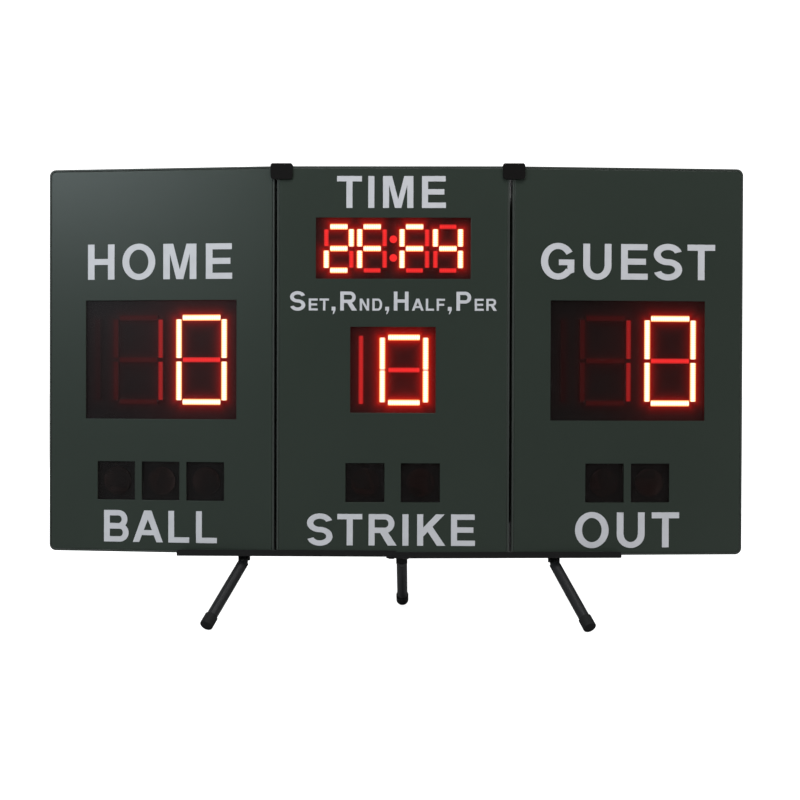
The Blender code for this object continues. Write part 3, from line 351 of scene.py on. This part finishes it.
def pane_material(name, colour, second, alpha, rough):
    """Smoked plastic that scatters the light of the bars behind it."""
    tree, shader = finish(name, colour, second, rough, change=0.06, patch=5.0, grain=1400.0, relief=0.05)
    shader.inputs["Alpha"].default_value = alpha
    shader.inputs["Specular IOR Level"].default_value = 0.3
    shader.inputs["Emission Strength"].default_value = 1.7
    glow = add_node(tree, "ShaderNodeAttribute", {"attribute_name": "glow"})
    colours = ramp_node(
        tree,
        (
            (0.0, (0.0, 0.0, 0.0)),
            (0.6, (0.45, 0.004, 0.002)),
            (1.0, (0.8, 0.02, 0.004)),
        ),
    )
    tree.links.new(glow.outputs["Fac"], colours.inputs["Fac"])
    tree.links.new(colours.outputs["Color"], shader.inputs["Emission Color"])


def circuit_material():
    """Green solder mask with a darker net of tracks."""
    tree, shader = finish(
        "circuit_board", (0.01, 0.06, 0.025, 1), (0.014, 0.075, 0.03, 1), 0.35, patch=40.0, grain=600.0
    )
    place = tree.nodes.new("ShaderNodeTexCoord")
    tracks = add_node(tree, "ShaderNodeTexBrick", Scale=90.0, Mortar_Size=0.03)
    tracks.inputs["Color1"].default_value = (1, 1, 1, 1)
    tracks.inputs["Color2"].default_value = (0.8, 0.8, 0.8, 1)
    tracks.inputs["Mortar"].default_value = (0.35, 0.4, 0.3, 1)
    mix = add_node(tree, "ShaderNodeMix", {"data_type": "RGBA", "blend_type": "MULTIPLY"}, Factor=1.0)
    base = shader.inputs["Base Color"].links[0].from_socket
    turn = add_node(tree, "ShaderNodeMapping")
    turn.inputs["Rotation"].default_value = (math.pi / 2, 0, 0)
    tree.links.new(place.outputs["Object"], turn.inputs["Vector"])
    tree.links.new(turn.outputs["Vector"], tracks.inputs["Vector"])
    tree.links.new(base, mix.inputs["A"])
    tree.links.new(tracks.outputs["Color"], mix.inputs["B"])
    tree.links.new(mix.outputs["Result"], shader.inputs["Base Color"])


def battery_material():
    """A plain sleeve with a pale band."""
    black, second_black = (0.03, 0.03, 0.034, 1), (0.04, 0.04, 0.045, 1)
    tree, shader = finish("battery_sleeve", black, second_black, 0.3, relief=0.02)
    place = tree.nodes.new("ShaderNodeTexCoord")
    split = tree.nodes.new("ShaderNodeSeparateXYZ")
    wave = add_node(tree, "ShaderNodeMath", {"operation": "PINGPONG"})
    wave.inputs[1].default_value = CELL_BAND_PITCH
    band = ramp_node(tree, ((0.0, (0.6, 0.6, 0.6)), (0.3, (0.6, 0.6, 0.6)), (0.32, (0.03, 0.03, 0.034))))
    spread = add_node(tree, "ShaderNodeMapRange", From_Min=0.0, From_Max=CELL_BAND_PITCH)
    tree.links.new(place.outputs["Object"], split.inputs[0])
    tree.links.new(split.outputs["Z"], wave.inputs[0])
    tree.links.new(wave.outputs[0], spread.inputs["Value"])
    tree.links.new(spread.outputs["Result"], band.inputs["Fac"])
    tree.links.new(band.outputs["Color"], shader.inputs["Base Color"])


def make_materials():
    dull = {"Specular_IOR_Level": 0.22}
    green, second_green = srgb(41, 48, 42), srgb(44, 51, 45)
    finish("panel_green", green, second_green, 0.33, 0.06, patch=4, grain=1500, relief=0.05, **dull)
    finish("cover_plastic", srgb(50, 54, 50), srgb(54, 58, 54), 0.42, 0.12, grain=1300, relief=0.15, **dull)
    finish("coated_sheet", srgb(18, 17, 17), srgb(21, 20, 20), 0.42, 0.15, grain=1600, relief=0.2, **dull)
    finish("coated_tube", srgb(31, 31, 32), srgb(35, 35, 36), 0.4, 0.12, grain=1600, relief=0.15, **dull)
    finish("rubber", srgb(18, 18, 18), srgb(22, 22, 22), 0.75, 0.1, grain=2200, relief=0.3, **dull)
    duller = {"Specular_IOR_Level": 0.1}
    finish("black_plastic", srgb(8, 6, 5), srgb(12, 10, 9), 0.55, 0.1, grain=1800, relief=0.2, **duller)
    finish("display_mask", (0.0012, 0.001, 0.001, 1), (0.0016, 0.0013, 0.0012, 1), 0.7, 0.05, **dull)
    # Stray light of the digits on the unlit lamps
    stray = {"Emission_Color": (0.008, 0.0014, 0.0007, 1), "Emission_Strength": 1.0}
    finish("lamp_face", srgb(38, 22, 18), srgb(44, 26, 22), 0.6, 0.1, grain=1200, relief=0.2, **stray)
    pale, second_pale = srgb(190, 189, 193), srgb(184, 183, 187)
    finish("legend_paint", pale, second_pale, 0.5, 0.1, patch=60, grain=2500, relief=0.05)
    bright, second_bright = (0.42, 0.42, 0.43, 1), (0.36, 0.36, 0.37, 1)
    finish("steel", bright, second_bright, 0.3, 0.2, patch=30, grain=700, Metallic=1.0)
    finish("black_steel", (0.03, 0.03, 0.03, 1), (0.04, 0.04, 0.04, 1), 0.45, 0.1, patch=30, grain=700)
    pane_material("pane_home", srgb(23, 14, 15), srgb(28, 18, 19), 0.3, 0.32)
    pane_material("pane_guest", srgb(14, 6, 5), srgb(18, 10, 8), 0.3, 0.36)
    circuit_material()
    battery_material()
    light_bar_material()


# Pieces


def add_piece(name, bm, look, body, place=None, sharp=40):
    """The bmesh as one object on a body, with its place in its mesh."""
    if place is not None:
        bmesh.ops.transform(bm, matrix=place, verts=bm.verts)
    mesh = bpy.data.meshes.new(name)
    bm.to_mesh(mesh)
    bm.free()
    mesh.shade_smooth()
    mesh.set_sharp_from_angle(angle=math.radians(sharp))
    mesh.materials.append(MATERIALS[look])
    made = bpy.data.objects.new(name, mesh)
    bpy.context.scene.collection.objects.link(made)
    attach(made, body)
    return made


def digit_bars(x, z, digit, levels):
    """The seven bars of a digit: clockwise from the top one, and the middle one last."""
    width, height, thickness, side_gap, middle_gap, drop = digit
    side = (width - thickness) / 2
    rise = (height - thickness) / 2
    across = (width - 2 * (thickness + side_gap), thickness)
    low, high = middle_gap / 2, rise - drop
    upright = (thickness, high - low)
    up = (low + high) / 2
    places = ((x, z + rise), (x + side, z + up), (x + side, z - up), (x, z - rise))
    places += ((x - side, z - up), (x - side, z + up), (x, z))
    sizes = (across, upright, upright, across, upright, upright, across)
    return [(*place, *size, level) for place, size, level in zip(places, sizes, levels)]


def add_light_bar(bm, bar):
    """A bar with rounded corners, its level on its faces, and the way along and across it in its UV.

    A lit bar spreads past its place across, and the others don't fill theirs.
    """
    x, z, width, height, level = bar
    if level < LIT:
        width, height = width - 2 * BAR_SPREAD, height - 2 * BAR_SPREAD
    elif height > width:
        width += 2 * LIT_SPREAD
    else:
        height += 2 * LIT_SPREAD
    uv = bm.loops.layers.uv["bar"]
    levels = bm.faces.layers.float["level"]
    known = set(bm.faces)
    turn = Matrix.Translation((x, BAR_FRONT, z)) @ Matrix.Rotation(math.pi / 2, 4, "X")
    place = turn @ Matrix.Diagonal((width / 2, height / 2, 1, 1))
    corners = bmesh.ops.create_grid(bm, x_segments=1, y_segments=1, size=1, matrix=place)["verts"]
    bmesh.ops.bevel(
        bm, geom=corners, offset=BAR_CORNER, segments=2, profile=0.5, affect="VERTICES", material=-1
    )
    front = [face for face in bm.faces if face not in known]
    thin = min(width, height) / 2
    bmesh.ops.inset_region(bm, faces=front, thickness=thin * BAR_EDGE, use_even_offset=True)
    front = [face for face in bm.faces if face not in known]
    back = bmesh.ops.extrude_face_region(bm, geom=front, use_keep_orig=True)
    moved = [part for part in back["geom"] if isinstance(part, bmesh.types.BMVert)]
    bmesh.ops.translate(bm, vec=(0, BAR_BACK - BAR_FRONT, 0), verts=moved)
    for face in bm.faces:
        if face in known:
            continue
        face[levels] = level
        for loop in face.loops:
            along, across = loop.vert.co.x - x, loop.vert.co.z - z
            if height > width:
                along, across = across, along
            loop[uv].uv = (along / LIGHT_PITCH, across / thin)


def add_light_dot(bm, x, z, radius, level):
    """A round light of the colon."""
    uv = bm.loops.layers.uv["bar"]
    levels = bm.faces.layers.float["level"]
    known = set(bm.faces)
    turn = Matrix.Translation((x, BAR_FRONT, z)) @ Matrix.Rotation(math.pi / 2, 4, "X")
    bmesh.ops.create_circle(bm, cap_ends=True, segments=ROUND, radius=radius, matrix=turn)
    for face in bm.faces:
        if face not in known:
            face[levels] = level
            for loop in face.loops:
                loop[uv].uv = (0, DOT_HEAT)


def glow_at(x, z, bars, dots, scatter):
    """What a place on the pane scatters: a halo from its brightest light, and a haze from them all."""
    halo, haze = 0.0, 0.0
    lights = [(*bar[:2], bar[2] / 2, bar[3] / 2, 0, bar[4]) for bar in bars]
    lights += [(dot_x, dot_z, 0, 0, radius, level) for dot_x, dot_z, radius, level in dots]
    for light_x, light_z, half_width, half_height, radius, level in lights:
        beside = max(abs(x - light_x) - half_width, 0)
        above = max(abs(z - light_z) - half_height, 0)
        away = max(math.hypot(beside, above) - radius, 0)
        power = 1.0 if level == LIT else UNLIT_POWER * level
        halo = max(halo, power * math.exp(-away / HALO_REACH))
        haze += power * math.exp(-away / HAZE_REACH)
    return min(scatter[0] * halo + scatter[1] * haze, 1.0)


def pane(name, node, body, middle, size, bars, dots, look):
    """A smoked pane with a flange behind the front panel, and the light that it scatters."""
    x, z = middle
    width, height = size
    bm = bmesh.new()
    place = Matrix.Translation((x, PANE_FRONT, z)) @ Matrix.Rotation(math.pi / 2, 4, "X")
    place = place @ Matrix.Diagonal((width / 2, height / 2, 1, 1))
    columns, rows = round(width / GRID), round(height / GRID)
    bmesh.ops.create_grid(bm, x_segments=columns, y_segments=rows, size=1, matrix=place)
    centred = Matrix.Translation((-x, 0, -z))
    wider = ((width + 2 * FLANGE) / width, 1, (height + 2 * FLANGE) / height)
    steps = ((FLANGE_FRONT - PANE_FRONT, (1, 1, 1)), (0, wider), (PANE_BACK - FLANGE_FRONT, (1, 1, 1)))
    for depth, growth in steps:
        rim = [edge for edge in bm.edges if edge.is_boundary]
        wall = bmesh.ops.extrude_edge_only(bm, edges=rim)["geom"]
        moved = [part for part in wall if isinstance(part, bmesh.types.BMVert)]
        bmesh.ops.translate(bm, vec=(0, depth, 0), verts=moved)
        bmesh.ops.scale(bm, vec=growth, verts=moved, space=centred)
    bmesh.ops.holes_fill(bm, edges=[edge for edge in bm.edges if edge.is_boundary], sides=0)
    bmesh.ops.recalc_face_normals(bm, faces=bm.faces)
    glow = bm.verts.layers.float.new("glow")
    for vert in bm.verts:
        vert[glow] = glow_at(vert.co.x, vert.co.z, bars, dots, SCATTER[name.split("_")[0]])
    made = add_piece(name, bm, look, body, placement(body))
    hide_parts(node)


def light_bars(name, body, bars, dots):
    """The bars and dots of one display."""
    bm = bmesh.new()
    bm.loops.layers.uv.new("bar")
    bm.faces.layers.float.new("level")
    for bar in bars:
        add_light_bar(bm, bar)
    for dot in dots:
        add_light_dot(bm, *dot)
    bmesh.ops.recalc_face_normals(bm, faces=bm.faces)
    add_piece(name, bm, "light_bar", body, placement(body))


def displays():
    """The panes and the light bars behind them, showing a game that has begun."""
    zero = [LIT, LIT, LIT, LIT, LIT, LIT, GLOW]
    idle = [FAINT, DIM, DIM, FAINT, FAINT, FAINT, FAINT]
    for body, look in (("home_wing", "pane_home"), ("guest_wing", "pane_guest")):
        side = body.split("_")[0]
        ones = WINDOW_X[body] + SCORE_ONES[body]
        tens = ones - DIGIT_PITCH
        bars = digit_bars(ones, SCORE_Z, SCORE_DIGIT, zero)
        bars += digit_bars(tens, SCORE_Z, SCORE_DIGIT, idle)
        bars.append((tens + SCORE_ONE[0], SCORE_Z, SCORE_DIGIT[2], SCORE_ONE[1], DARK))
        light_bars(f"{side}_score_light_bars", body, bars, [])
        middle = (WINDOW_X[body], SCORE_Z)
        pane(f"{side}_score_pane", f"{side}_score_lens", body, middle, SCORE_WINDOW, bars, [], look)
    two = [LIT, LIT, GLOW, LIT, LIT, GLOW, LIT]
    partial = [LIT, GLOW, GLOW, GLOW, LIT, LIT, LIT]
    four = [GLOW, LIT, LIT, GLOW, GLOW, LIT, LIT]
    bars = []
    for x, levels in zip(CLOCK_DIGITS, (two, partial, partial, four)):
        bars += digit_bars(x, CLOCK_Z, CLOCK_DIGIT, levels)
    dots = [(0, CLOCK_Z + rise, COLON_RADIUS, GLOW) for rise in (-COLON_RISE, COLON_RISE)]
    light_bars("clock_light_bars", "board", bars, dots)
    pane("clock_pane", "clock_lens", "board", (0, CLOCK_Z), CLOCK_WINDOW, bars, dots, "pane_guest")
    bars = digit_bars(PERIOD_ONES, PERIOD_Z, PERIOD_DIGIT, zero)
    bars.append((PERIOD_ONE[0], PERIOD_Z, PERIOD_DIGIT[2], PERIOD_ONE[1], SOFT))
    light_bars("period_light_bars", "board", bars, [])
    pane("period_pane", "period_lens", "board", (0, PERIOD_Z), PERIOD_WINDOW, bars, [], "pane_guest")


def lamp_faces():
    """A ribbed round face on every indicator lamp."""
    slope, flat, height = LAMP_RIB
    for row, body in (("ball", "home_wing"), ("strike", "board"), ("out", "guest_wing")):
        bm = bmesh.new()
        for x in LAMPS[row]:
            place = Matrix.Translation((x, LAMP_FACE, LAMP_Z)) @ Matrix.Rotation(math.pi / 2, 4, "X")
            known = set(bm.faces)
            bmesh.ops.create_circle(
                bm, cap_ends=True, segments=2 * ROUND, radius=LAMP_RADIUS, matrix=place
            )
            disc = [face for face in bm.faces if face not in known]
            for rib in range(LAMP_RIBS):
                depth = height if rib % 2 else -height
                bmesh.ops.inset_region(bm, faces=disc, thickness=slope, depth=depth)
                bmesh.ops.inset_region(bm, faces=disc, thickness=flat)
        add_piece(f"{row}_lamp_faces", bm, "lamp_face", body, placement(body))


def eased(node, width, look):
    """A copy of a CAD node with its edges rounded a little, which stands for the node."""
    source = frame["nodes"][node]
    bm = bmesh.new()
    bm.from_mesh(source.data)
    bmesh.ops.remove_doubles(bm, verts=bm.verts, dist=1e-6)
    bmesh.ops.dissolve_limit(bm, angle_limit=math.radians(1), verts=bm.verts, edges=bm.edges)
    edges = [edge for edge in bm.edges if edge.is_manifold and edge.calc_face_angle() > EASED_CORNER]
    bmesh.ops.bevel(
        bm,
        geom=edges,
        offset=width,
        offset_type="OFFSET",
        segments=2,
        profile=0.5,
        affect="EDGES",
        material=-1,
        clamp_overlap=True,
    )
    body = next(name for name, nodes in frame["record"]["behaviour"]["bodies"].items() if node in nodes)
    made = add_piece(f"{node}_finished", bm, look, body, sharp=16)
    shading = made.modifiers.new("even_shading", "WEIGHTED_NORMAL")
    shading.keep_sharp = True
    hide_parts(node)


def box(x0, z0, x1, z1):
    """An upright stroke or a level one."""
    return ((x0, z0), (x1, z0), (x1, z1), (x0, z1))


def bowl(right, low, high):
    """The round part of a B, D, P or R: two level strokes and the arc that joins them."""
    rise = (high - low) / 2
    reach = min(rise, BOWL_REACH)
    arc = ("arc", right - reach, low + rise, reach, rise, reach - STEM, rise - STROKE, -90, 180)
    flat = right - reach + OVERLAP
    return [box(0, low, flat, low + STROKE), box(0, high - STROKE, flat, high), arc]


def ring(width, middle, rise, start, sweep):
    """An oval stroke, or a part of one, as wide as the letter."""
    half = width / 2
    return ("arc", half, middle, half, rise, half - ROUND_STEM, rise - STROKE, start, sweep)


def letters():
    """Width, room on the left and on the right, and strokes of each letter."""
    stem = box(0, 0, STEM, 1)
    full = 0.5 + OVERSHOOT
    leg = ((0.60, 0), (0.88, 0), (0.58, 0.46), (0.33, 0.46))
    return {
        "A": (0.98, 0.01, 0.01, [
            ((0, 0), (0.21, 0), (0.60, 1), (0.37, 1)),
            ((0.77, 0), (0.98, 0), (0.61, 1), (0.38, 1)),
            box(0.2, 0.22, 0.78, 0.38),
        ]),
        "B": (0.81, 0.1, 0.06, [stem, *bowl(0.77, 0.42, 1), *bowl(0.81, 0, 0.58)]),
        "D": (0.81, 0.1, 0.06, [stem, *bowl(0.81, 0, 1)]),
        "E": (0.75, 0.1, 0.05, [
            stem, box(0, 0, 0.75, STROKE), box(0, 0.42, 0.7, 0.42 + STROKE), box(0, 1 - STROKE, 0.74, 1),
        ]),
        "F": (0.69, 0.1, 0.04, [stem, box(0, 0.41, 0.62, 0.41 + STROKE), box(0, 1 - STROKE, 0.69, 1)]),
        "G": (0.93, 0.06, 0.08, [
            ring(0.95, 0.5, full, 32, 292), box(0.5, 0.39, 0.93, 0.55),
            ((0.93 - STEM, 0.12), (0.93, 0.19), (0.93, 0.54), (0.93 - STEM, 0.54)),
        ]),
        "H": (0.77, 0.1, 0.1, [stem, box(0.77 - STEM, 0, 0.77, 1), box(0, 0.42, 0.77, 0.42 + STROKE)]),
        "I": (STEM, 0.1, 0.1, [stem]),
        "K": (0.88, 0.1, 0.01, [
            stem,
            ((0.12, 0.22), (0.12, 0.50), (0.59, 1), (0.86, 1)),
            ((0.62, 0), (0.88, 0), (0.47, 0.62), (0.30, 0.49)),
        ]),
        "L": (0.68, 0.1, 0.05, [stem, box(0, 0, 0.68, STROKE)]),
        "M": (0.95, 0.1, 0.1, [
            stem, box(0.95 - STEM, 0, 0.95, 1),
            ((0.375, 0), (0.545, 0), (0.285, 1), (0.12, 1)),
            ((0.405, 0), (0.575, 0), (0.83, 1), (0.665, 1)),
        ]),
        "N": (0.78, 0.1, 0.1, [
            stem, box(0.78 - STEM, 0, 0.78, 1), ((0.57, 0), (0.77, 0), (0.21, 1), (0.01, 1)),
        ]),
        "O": (0.95, 0.06, 0.06, [ring(0.95, 0.5, full, 0, 360)]),
        "P": (0.77, 0.1, 0.05, [stem, *bowl(0.77, 0.38, 1)]),
        "R": (0.88, 0.1, 0.01, [stem, *bowl(0.81, 0.40, 1), leg]),
        "S": (0.80, 0.05, 0.05, [
            ring(0.80, 0.715, 0.30, 16, 256), ring(0.80, 0.285, 0.30, 92, -256),
        ]),
        "T": (0.78, 0.03, 0.03, [box(0, 1 - STROKE, 0.78, 1), box(0.39 - STEM / 2, 0, 0.39 + STEM / 2, 1)]),
        "U": (0.79, 0.1, 0.1, [
            box(0, 0.36, STEM, 1), box(0.79 - STEM, 0.36, 0.79, 1),
            ring(0.79, 0.37, 0.37 + OVERSHOOT, 180, 180),
        ]),
        ",": (0.2, 0.08, 0.08, [
            box(0, 0, 0.2, 0.2), ((0.05, -0.2), (0.12, -0.16), (0.2, 0.02), (0.1, 0.02)),
        ]),
    }


def add_stroke(bm, shape, left, scale, depth):
    """One flat stroke of a letter, from a few corners or as part of a ring."""
    width, height = scale
    if shape[0] != "arc":
        corners = [bm.verts.new((left + x * width, depth, z * height)) for x, z in shape]
        bm.faces.new(corners)
        return
    middle_x, middle_z, out_x, out_z, in_x, in_z, start, sweep = shape[1:]
    start, sweep = math.radians(start), math.radians(sweep)
    # The arc is spun between two circles, and then each vertex goes to its place on its own oval
    outer, inner = 2, 1
    ends = [(radius * math.cos(start), depth, radius * math.sin(start)) for radius in (outer, inner)]
    edge = bm.edges.new([bm.verts.new(end) for end in ends])
    known = set(bm.verts) - set(edge.verts)
    steps = max(ARC_MIN_STEPS, round(abs(math.degrees(sweep)) / ARC_STEP))
    whole = math.isclose(abs(sweep), 2 * math.pi)
    bmesh.ops.spin(
        bm, geom=[edge, *edge.verts], axis=(0, -1, 0), angle=sweep, steps=steps, use_merge=whole
    )
    for vert in bm.verts:
        if vert in known:
            continue
        x, z = vert.co.x, vert.co.z
        inside = math.hypot(x, z) < (outer + inner) / 2
        across, up = (in_x, in_z) if inside else (out_x / outer, out_z / outer)
        vert.co.x = left + (middle_x + x * across) * width
        vert.co.z = (middle_z + z * up) * height


def capitals(text):
    """Which signs stand first in their word, a comma among them."""
    return [index == 0 or text[index - 1] == "," or sign == "," for index, sign in enumerate(text)]


def legend(name, body, text, left, right, base, cap, rest_cap=None):
    """A printed word between left and right. Letters after a capital may be lower, down to rest_cap."""
    glyphs = letters()
    sizes = [cap if first or rest_cap is None else rest_cap for first in capitals(text)]
    places, at = [], 0.0
    for index, (sign, size) in enumerate(zip(text, sizes)):
        width, before, after = glyphs[sign][:3]
        at += before * size if index else 0.0
        places.append(at)
        at += width * size
        end = at
        at += (after + TRACKING) * size
    stretch = (right - left) / end
    bm = bmesh.new()
    for sign, size, place in zip(text, sizes, places):
        for order, shape in enumerate(glyphs[sign][3]):
            depth = -PRINT_DEPTH - order * PRINT_STEP
            add_stroke(bm, shape, left + place * stretch, (size * stretch, size), depth)
    bmesh.ops.recalc_face_normals(bm, faces=bm.faces)
    bmesh.ops.translate(bm, vec=(0, 0, base), verts=bm.verts)
    sheet = bmesh.ops.extrude_face_region(bm, geom=list(bm.faces), use_keep_orig=True)
    for part in sheet["geom"]:
        if isinstance(part, bmesh.types.BMVert):
            part.co.y = -PRINT_STEP
    bmesh.ops.recalc_face_normals(bm, faces=bm.faces)
    add_piece(name, bm, "legend_paint", body, placement(body))


def legends():
    """Plain words of any scoreboard: left and right end, bottom edge and cap height."""
    legend("home_legend", "home_wing", "HOME", -0.353, -0.182, 0.3151, 0.0407)
    legend("guest_legend", "guest_wing", "GUEST", 0.1655, 0.3669, 0.3153, 0.0406)
    legend("time_legend", "board", "TIME", -0.0643, 0.0598, 0.3955, 0.0363)
    legend("ball_legend", "home_wing", "BALL", -0.3335, -0.1993, 0.0115, 0.0366)
    legend("strike_legend", "board", "STRIKE", -0.0976, 0.0941, 0.0107, 0.0359)
    legend("out_legend", "guest_wing", "OUT", 0.2059, 0.3265, 0.0086, 0.0402)
    legend("caption_legend", "board", "SET,RND,HALF,PER", -0.1176, 0.1182, 0.2787, 0.0216, 0.0136)


def screws(name, body, places, y, size):
    """Domed heads with a round socket, on a face at depth y."""
    radius, height = size
    bm = bmesh.new()
    for x, z in places:
        known = set(bm.faces)
        place = Matrix.Translation((x, y + height / 2, z)) @ Matrix.Rotation(-math.pi / 2, 4, "X")
        bmesh.ops.create_cone(
            bm,
            cap_ends=True,
            segments=ROUND,
            radius1=radius,
            radius2=radius * HEAD_TOP,
            depth=height,
            matrix=place,
        )
        mine = [face for face in bm.faces if face not in known]
        top = [max(mine, key=lambda face: face.calc_center_median().y)]
        bmesh.ops.inset_region(bm, faces=top, thickness=radius * HEAD_RING)
        bmesh.ops.inset_region(
            bm, faces=top, thickness=radius * SOCKET_WALL, depth=-height * SOCKET_DEPTH
        )
    add_piece(name, bm, "steel", body, placement(body))


def fasteners():
    """The screws of the rear covers and of the hinge leaves."""
    for body, side in (("home_wing", -1), ("guest_wing", 1)):
        places = [(side * x, z) for x in WING_SCREW_X for z in WING_SCREW_ROWS]
        screws(f"{body}_cover_screws", body, places, PANEL_BACK, COVER_SCREW)
    places = [(side * CENTRE_SCREW_X, z) for side in (-1, 1) for z in CENTRE_SCREW_ROWS]
    screws("centre_cover_screws", "board", places, PANEL_BACK, COVER_SCREW)
    heights = [LEAF_FOOT + LEAF_PITCH * (number + 0.5) for number in range(LEAF_SCREWS)]
    for name, (body, x, y) in HINGE_LEAVES.items():
        screws(f"{name}_screws", body, [(x, z) for z in heights], y, LEAF_SCREW)


def dress_nodes():
    """A material for every CAD node, and eased edges where they show."""
    looks = {
        "panel_green": "panel_green",
        "cover_plastic": "cover_plastic",
        "smoked_lens": "pane_guest",
        "circuit_board": "circuit_board",
        "black_plastic": "black_plastic",
        "rubber": "rubber",
        "coated_sheet": "coated_sheet",
        "coated_tube": "coated_tube",
        "steel": "steel",
        "battery_wrap": "battery_sleeve",
    }
    slots = {part["node"]: part["material_slot"] for part in frame["record"]["subparts"]}
    for name, node in frame["nodes"].items():
        look = looks[slots[name]]
        if name.endswith("_display") or name.endswith("_lamp_board"):
            look = "display_mask"
        if name.endswith("_leg_pivot_pin") or name.endswith("_rivet"):
            look = "black_steel"
        node.data.materials.clear()
        node.data.materials.append(MATERIALS[look])
    widths = {
        "_front_panel": 0.0004,
        "_rear_cover": 0.0007,
        "_rail": 0.0007,
        "_seam_clip": 0.0006,
        "battery_door": 0.0004,
    }
    for name in list(frame["nodes"]):
        for ending, width in widths.items():
            if name.endswith(ending):
                eased(name, width, "black_plastic" if ending == "_seam_clip" else looks[slots[name]])


# Room


def add_light(name, place, target, size, power, colour=(1, 1, 1)):
    data = bpy.data.lights.new(name, "AREA")
    data.shape = "RECTANGLE"
    data.size, data.size_y = size
    data.energy = power
    data.color = colour
    light = bpy.data.objects.new(name, data)
    light.location = place
    light.rotation_euler = (Vector(target) - Vector(place)).to_track_quat("-Z", "Y").to_euler()
    bpy.context.scene.collection.objects.link(light)


def add_floor():
    """A pale floor that looks as white as the world behind it, and still takes a faint shadow."""
    bm = bmesh.new()
    bmesh.ops.create_grid(bm, x_segments=1, y_segments=1, size=40)
    mesh = bpy.data.meshes.new("floor")
    bm.to_mesh(mesh)
    bm.free()
    tree, shader = finish("floor_paper", (0.36, 0.36, 0.36, 1), (0.34, 0.34, 0.34, 1), 0.9, 0.0, relief=0.0)
    shader.inputs["Specular IOR Level"].default_value = 0.0
    place = tree.nodes.new("ShaderNodeTexCoord")
    # Painted light: the camera sees the floor glow, a little weaker near the board than far from it
    away = add_node(tree, "ShaderNodeVectorMath", {"operation": "LENGTH"})
    pool = add_node(tree, "ShaderNodeMapRange", From_Min=0.1, From_Max=1.2, To_Min=0.9, To_Max=1.1)
    glow = tree.nodes.new("ShaderNodeEmission")
    seen = tree.nodes.new("ShaderNodeLightPath")
    total = tree.nodes.new("ShaderNodeAddShader")
    power = add_node(tree, "ShaderNodeMath", {"operation": "MULTIPLY"})
    tree.links.new(place.outputs["Object"], away.inputs[0])
    tree.links.new(away.outputs["Value"], pool.inputs["Value"])
    tree.links.new(pool.outputs["Result"], power.inputs[0])
    tree.links.new(seen.outputs["Is Camera Ray"], power.inputs[1])
    tree.links.new(power.outputs[0], glow.inputs["Strength"])
    tree.links.new(shader.outputs[0], total.inputs[0])
    tree.links.new(glow.outputs[0], total.inputs[1])
    tree.links.new(total.outputs[0], tree.nodes["Material Output"].inputs["Surface"])
    mesh.materials.append(MATERIALS["floor_paper"])
    floor = bpy.data.objects.new("floor", mesh)
    bpy.context.scene.collection.objects.link(floor)
    floor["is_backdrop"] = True


def add_studio():
    """White all round for the camera, a dim sky for the light, and four soft lights."""
    world = bpy.data.worlds.new("studio")
    world.use_nodes = True
    bpy.context.scene.world = world
    tree = world.node_tree
    tree.nodes.clear()
    seen = add_node(tree, "ShaderNodeBackground", Color=(1, 1, 1, 1), Strength=1.3)
    lit = add_node(tree, "ShaderNodeBackground", Color=(0.93, 0.98, 1, 1), Strength=0.12)
    path = tree.nodes.new("ShaderNodeLightPath")
    mix = tree.nodes.new("ShaderNodeMixShader")
    out = tree.nodes.new("ShaderNodeOutputWorld")
    tree.links.new(path.outputs["Is Camera Ray"], mix.inputs[0])
    tree.links.new(lit.outputs[0], mix.inputs[1])
    tree.links.new(seen.outputs[0], mix.inputs[2])
    tree.links.new(mix.outputs[0], out.inputs[0])
    add_light("left_softbox", (-1.65, -1.9, 1.18), (-0.3, 0, 0.45), (1.2, 0.5), 30, (0.84, 0.95, 1.0))
    add_light("right_softbox", (2.4, -1.5, 0.55), (0.1, 0, 0.2), (1.0, 0.8), 16)
    add_light("back_softbox", (-0.7, 2.4, 1.7), (0, 0, 0.25), (1.6, 1.2), 60)
    add_light("top_softbox", (0.2, -1.3, 2.4), (0, 0, 0.2), (2.0, 1.0), 52)
    bpy.context.scene.view_settings.view_transform = "Standard"


def camera():
    """The camera of the photo."""
    data = bpy.data.cameras.new("photo_camera")
    data.sensor_fit = "HORIZONTAL"
    data.lens = FOCAL_LENGTH
    data.shift_y = FRAME_SHIFT
    forward = Vector(
        (
            math.sin(CAMERA_YAW) * math.cos(CAMERA_PITCH),
            math.cos(CAMERA_YAW) * math.cos(CAMERA_PITCH),
            -math.sin(CAMERA_PITCH),
        )
    )
    level = forward.cross(Vector((0, 0, 1))).normalized()
    upward = level.cross(forward)
    right = math.cos(CAMERA_ROLL) * level + math.sin(CAMERA_ROLL) * upward
    up = right.cross(forward)
    turn = Matrix((right, up, -forward)).transposed().to_4x4()
    made = bpy.data.objects.new("photo_camera", data)
    made.matrix_world = Matrix.Translation(CAMERA_PLACE + BOARD) @ turn
    bpy.context.scene.collection.objects.link(made)
    bpy.context.scene.camera = made


camera()
make_materials()
displays()
lamp_faces()
legends()
fasteners()
dress_nodes()
add_floor()
add_studio()

corners = {"cad": CAD_BOX, "visual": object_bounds()}
{key: [list(corner) for corner in value] for key, value in corners.items()}
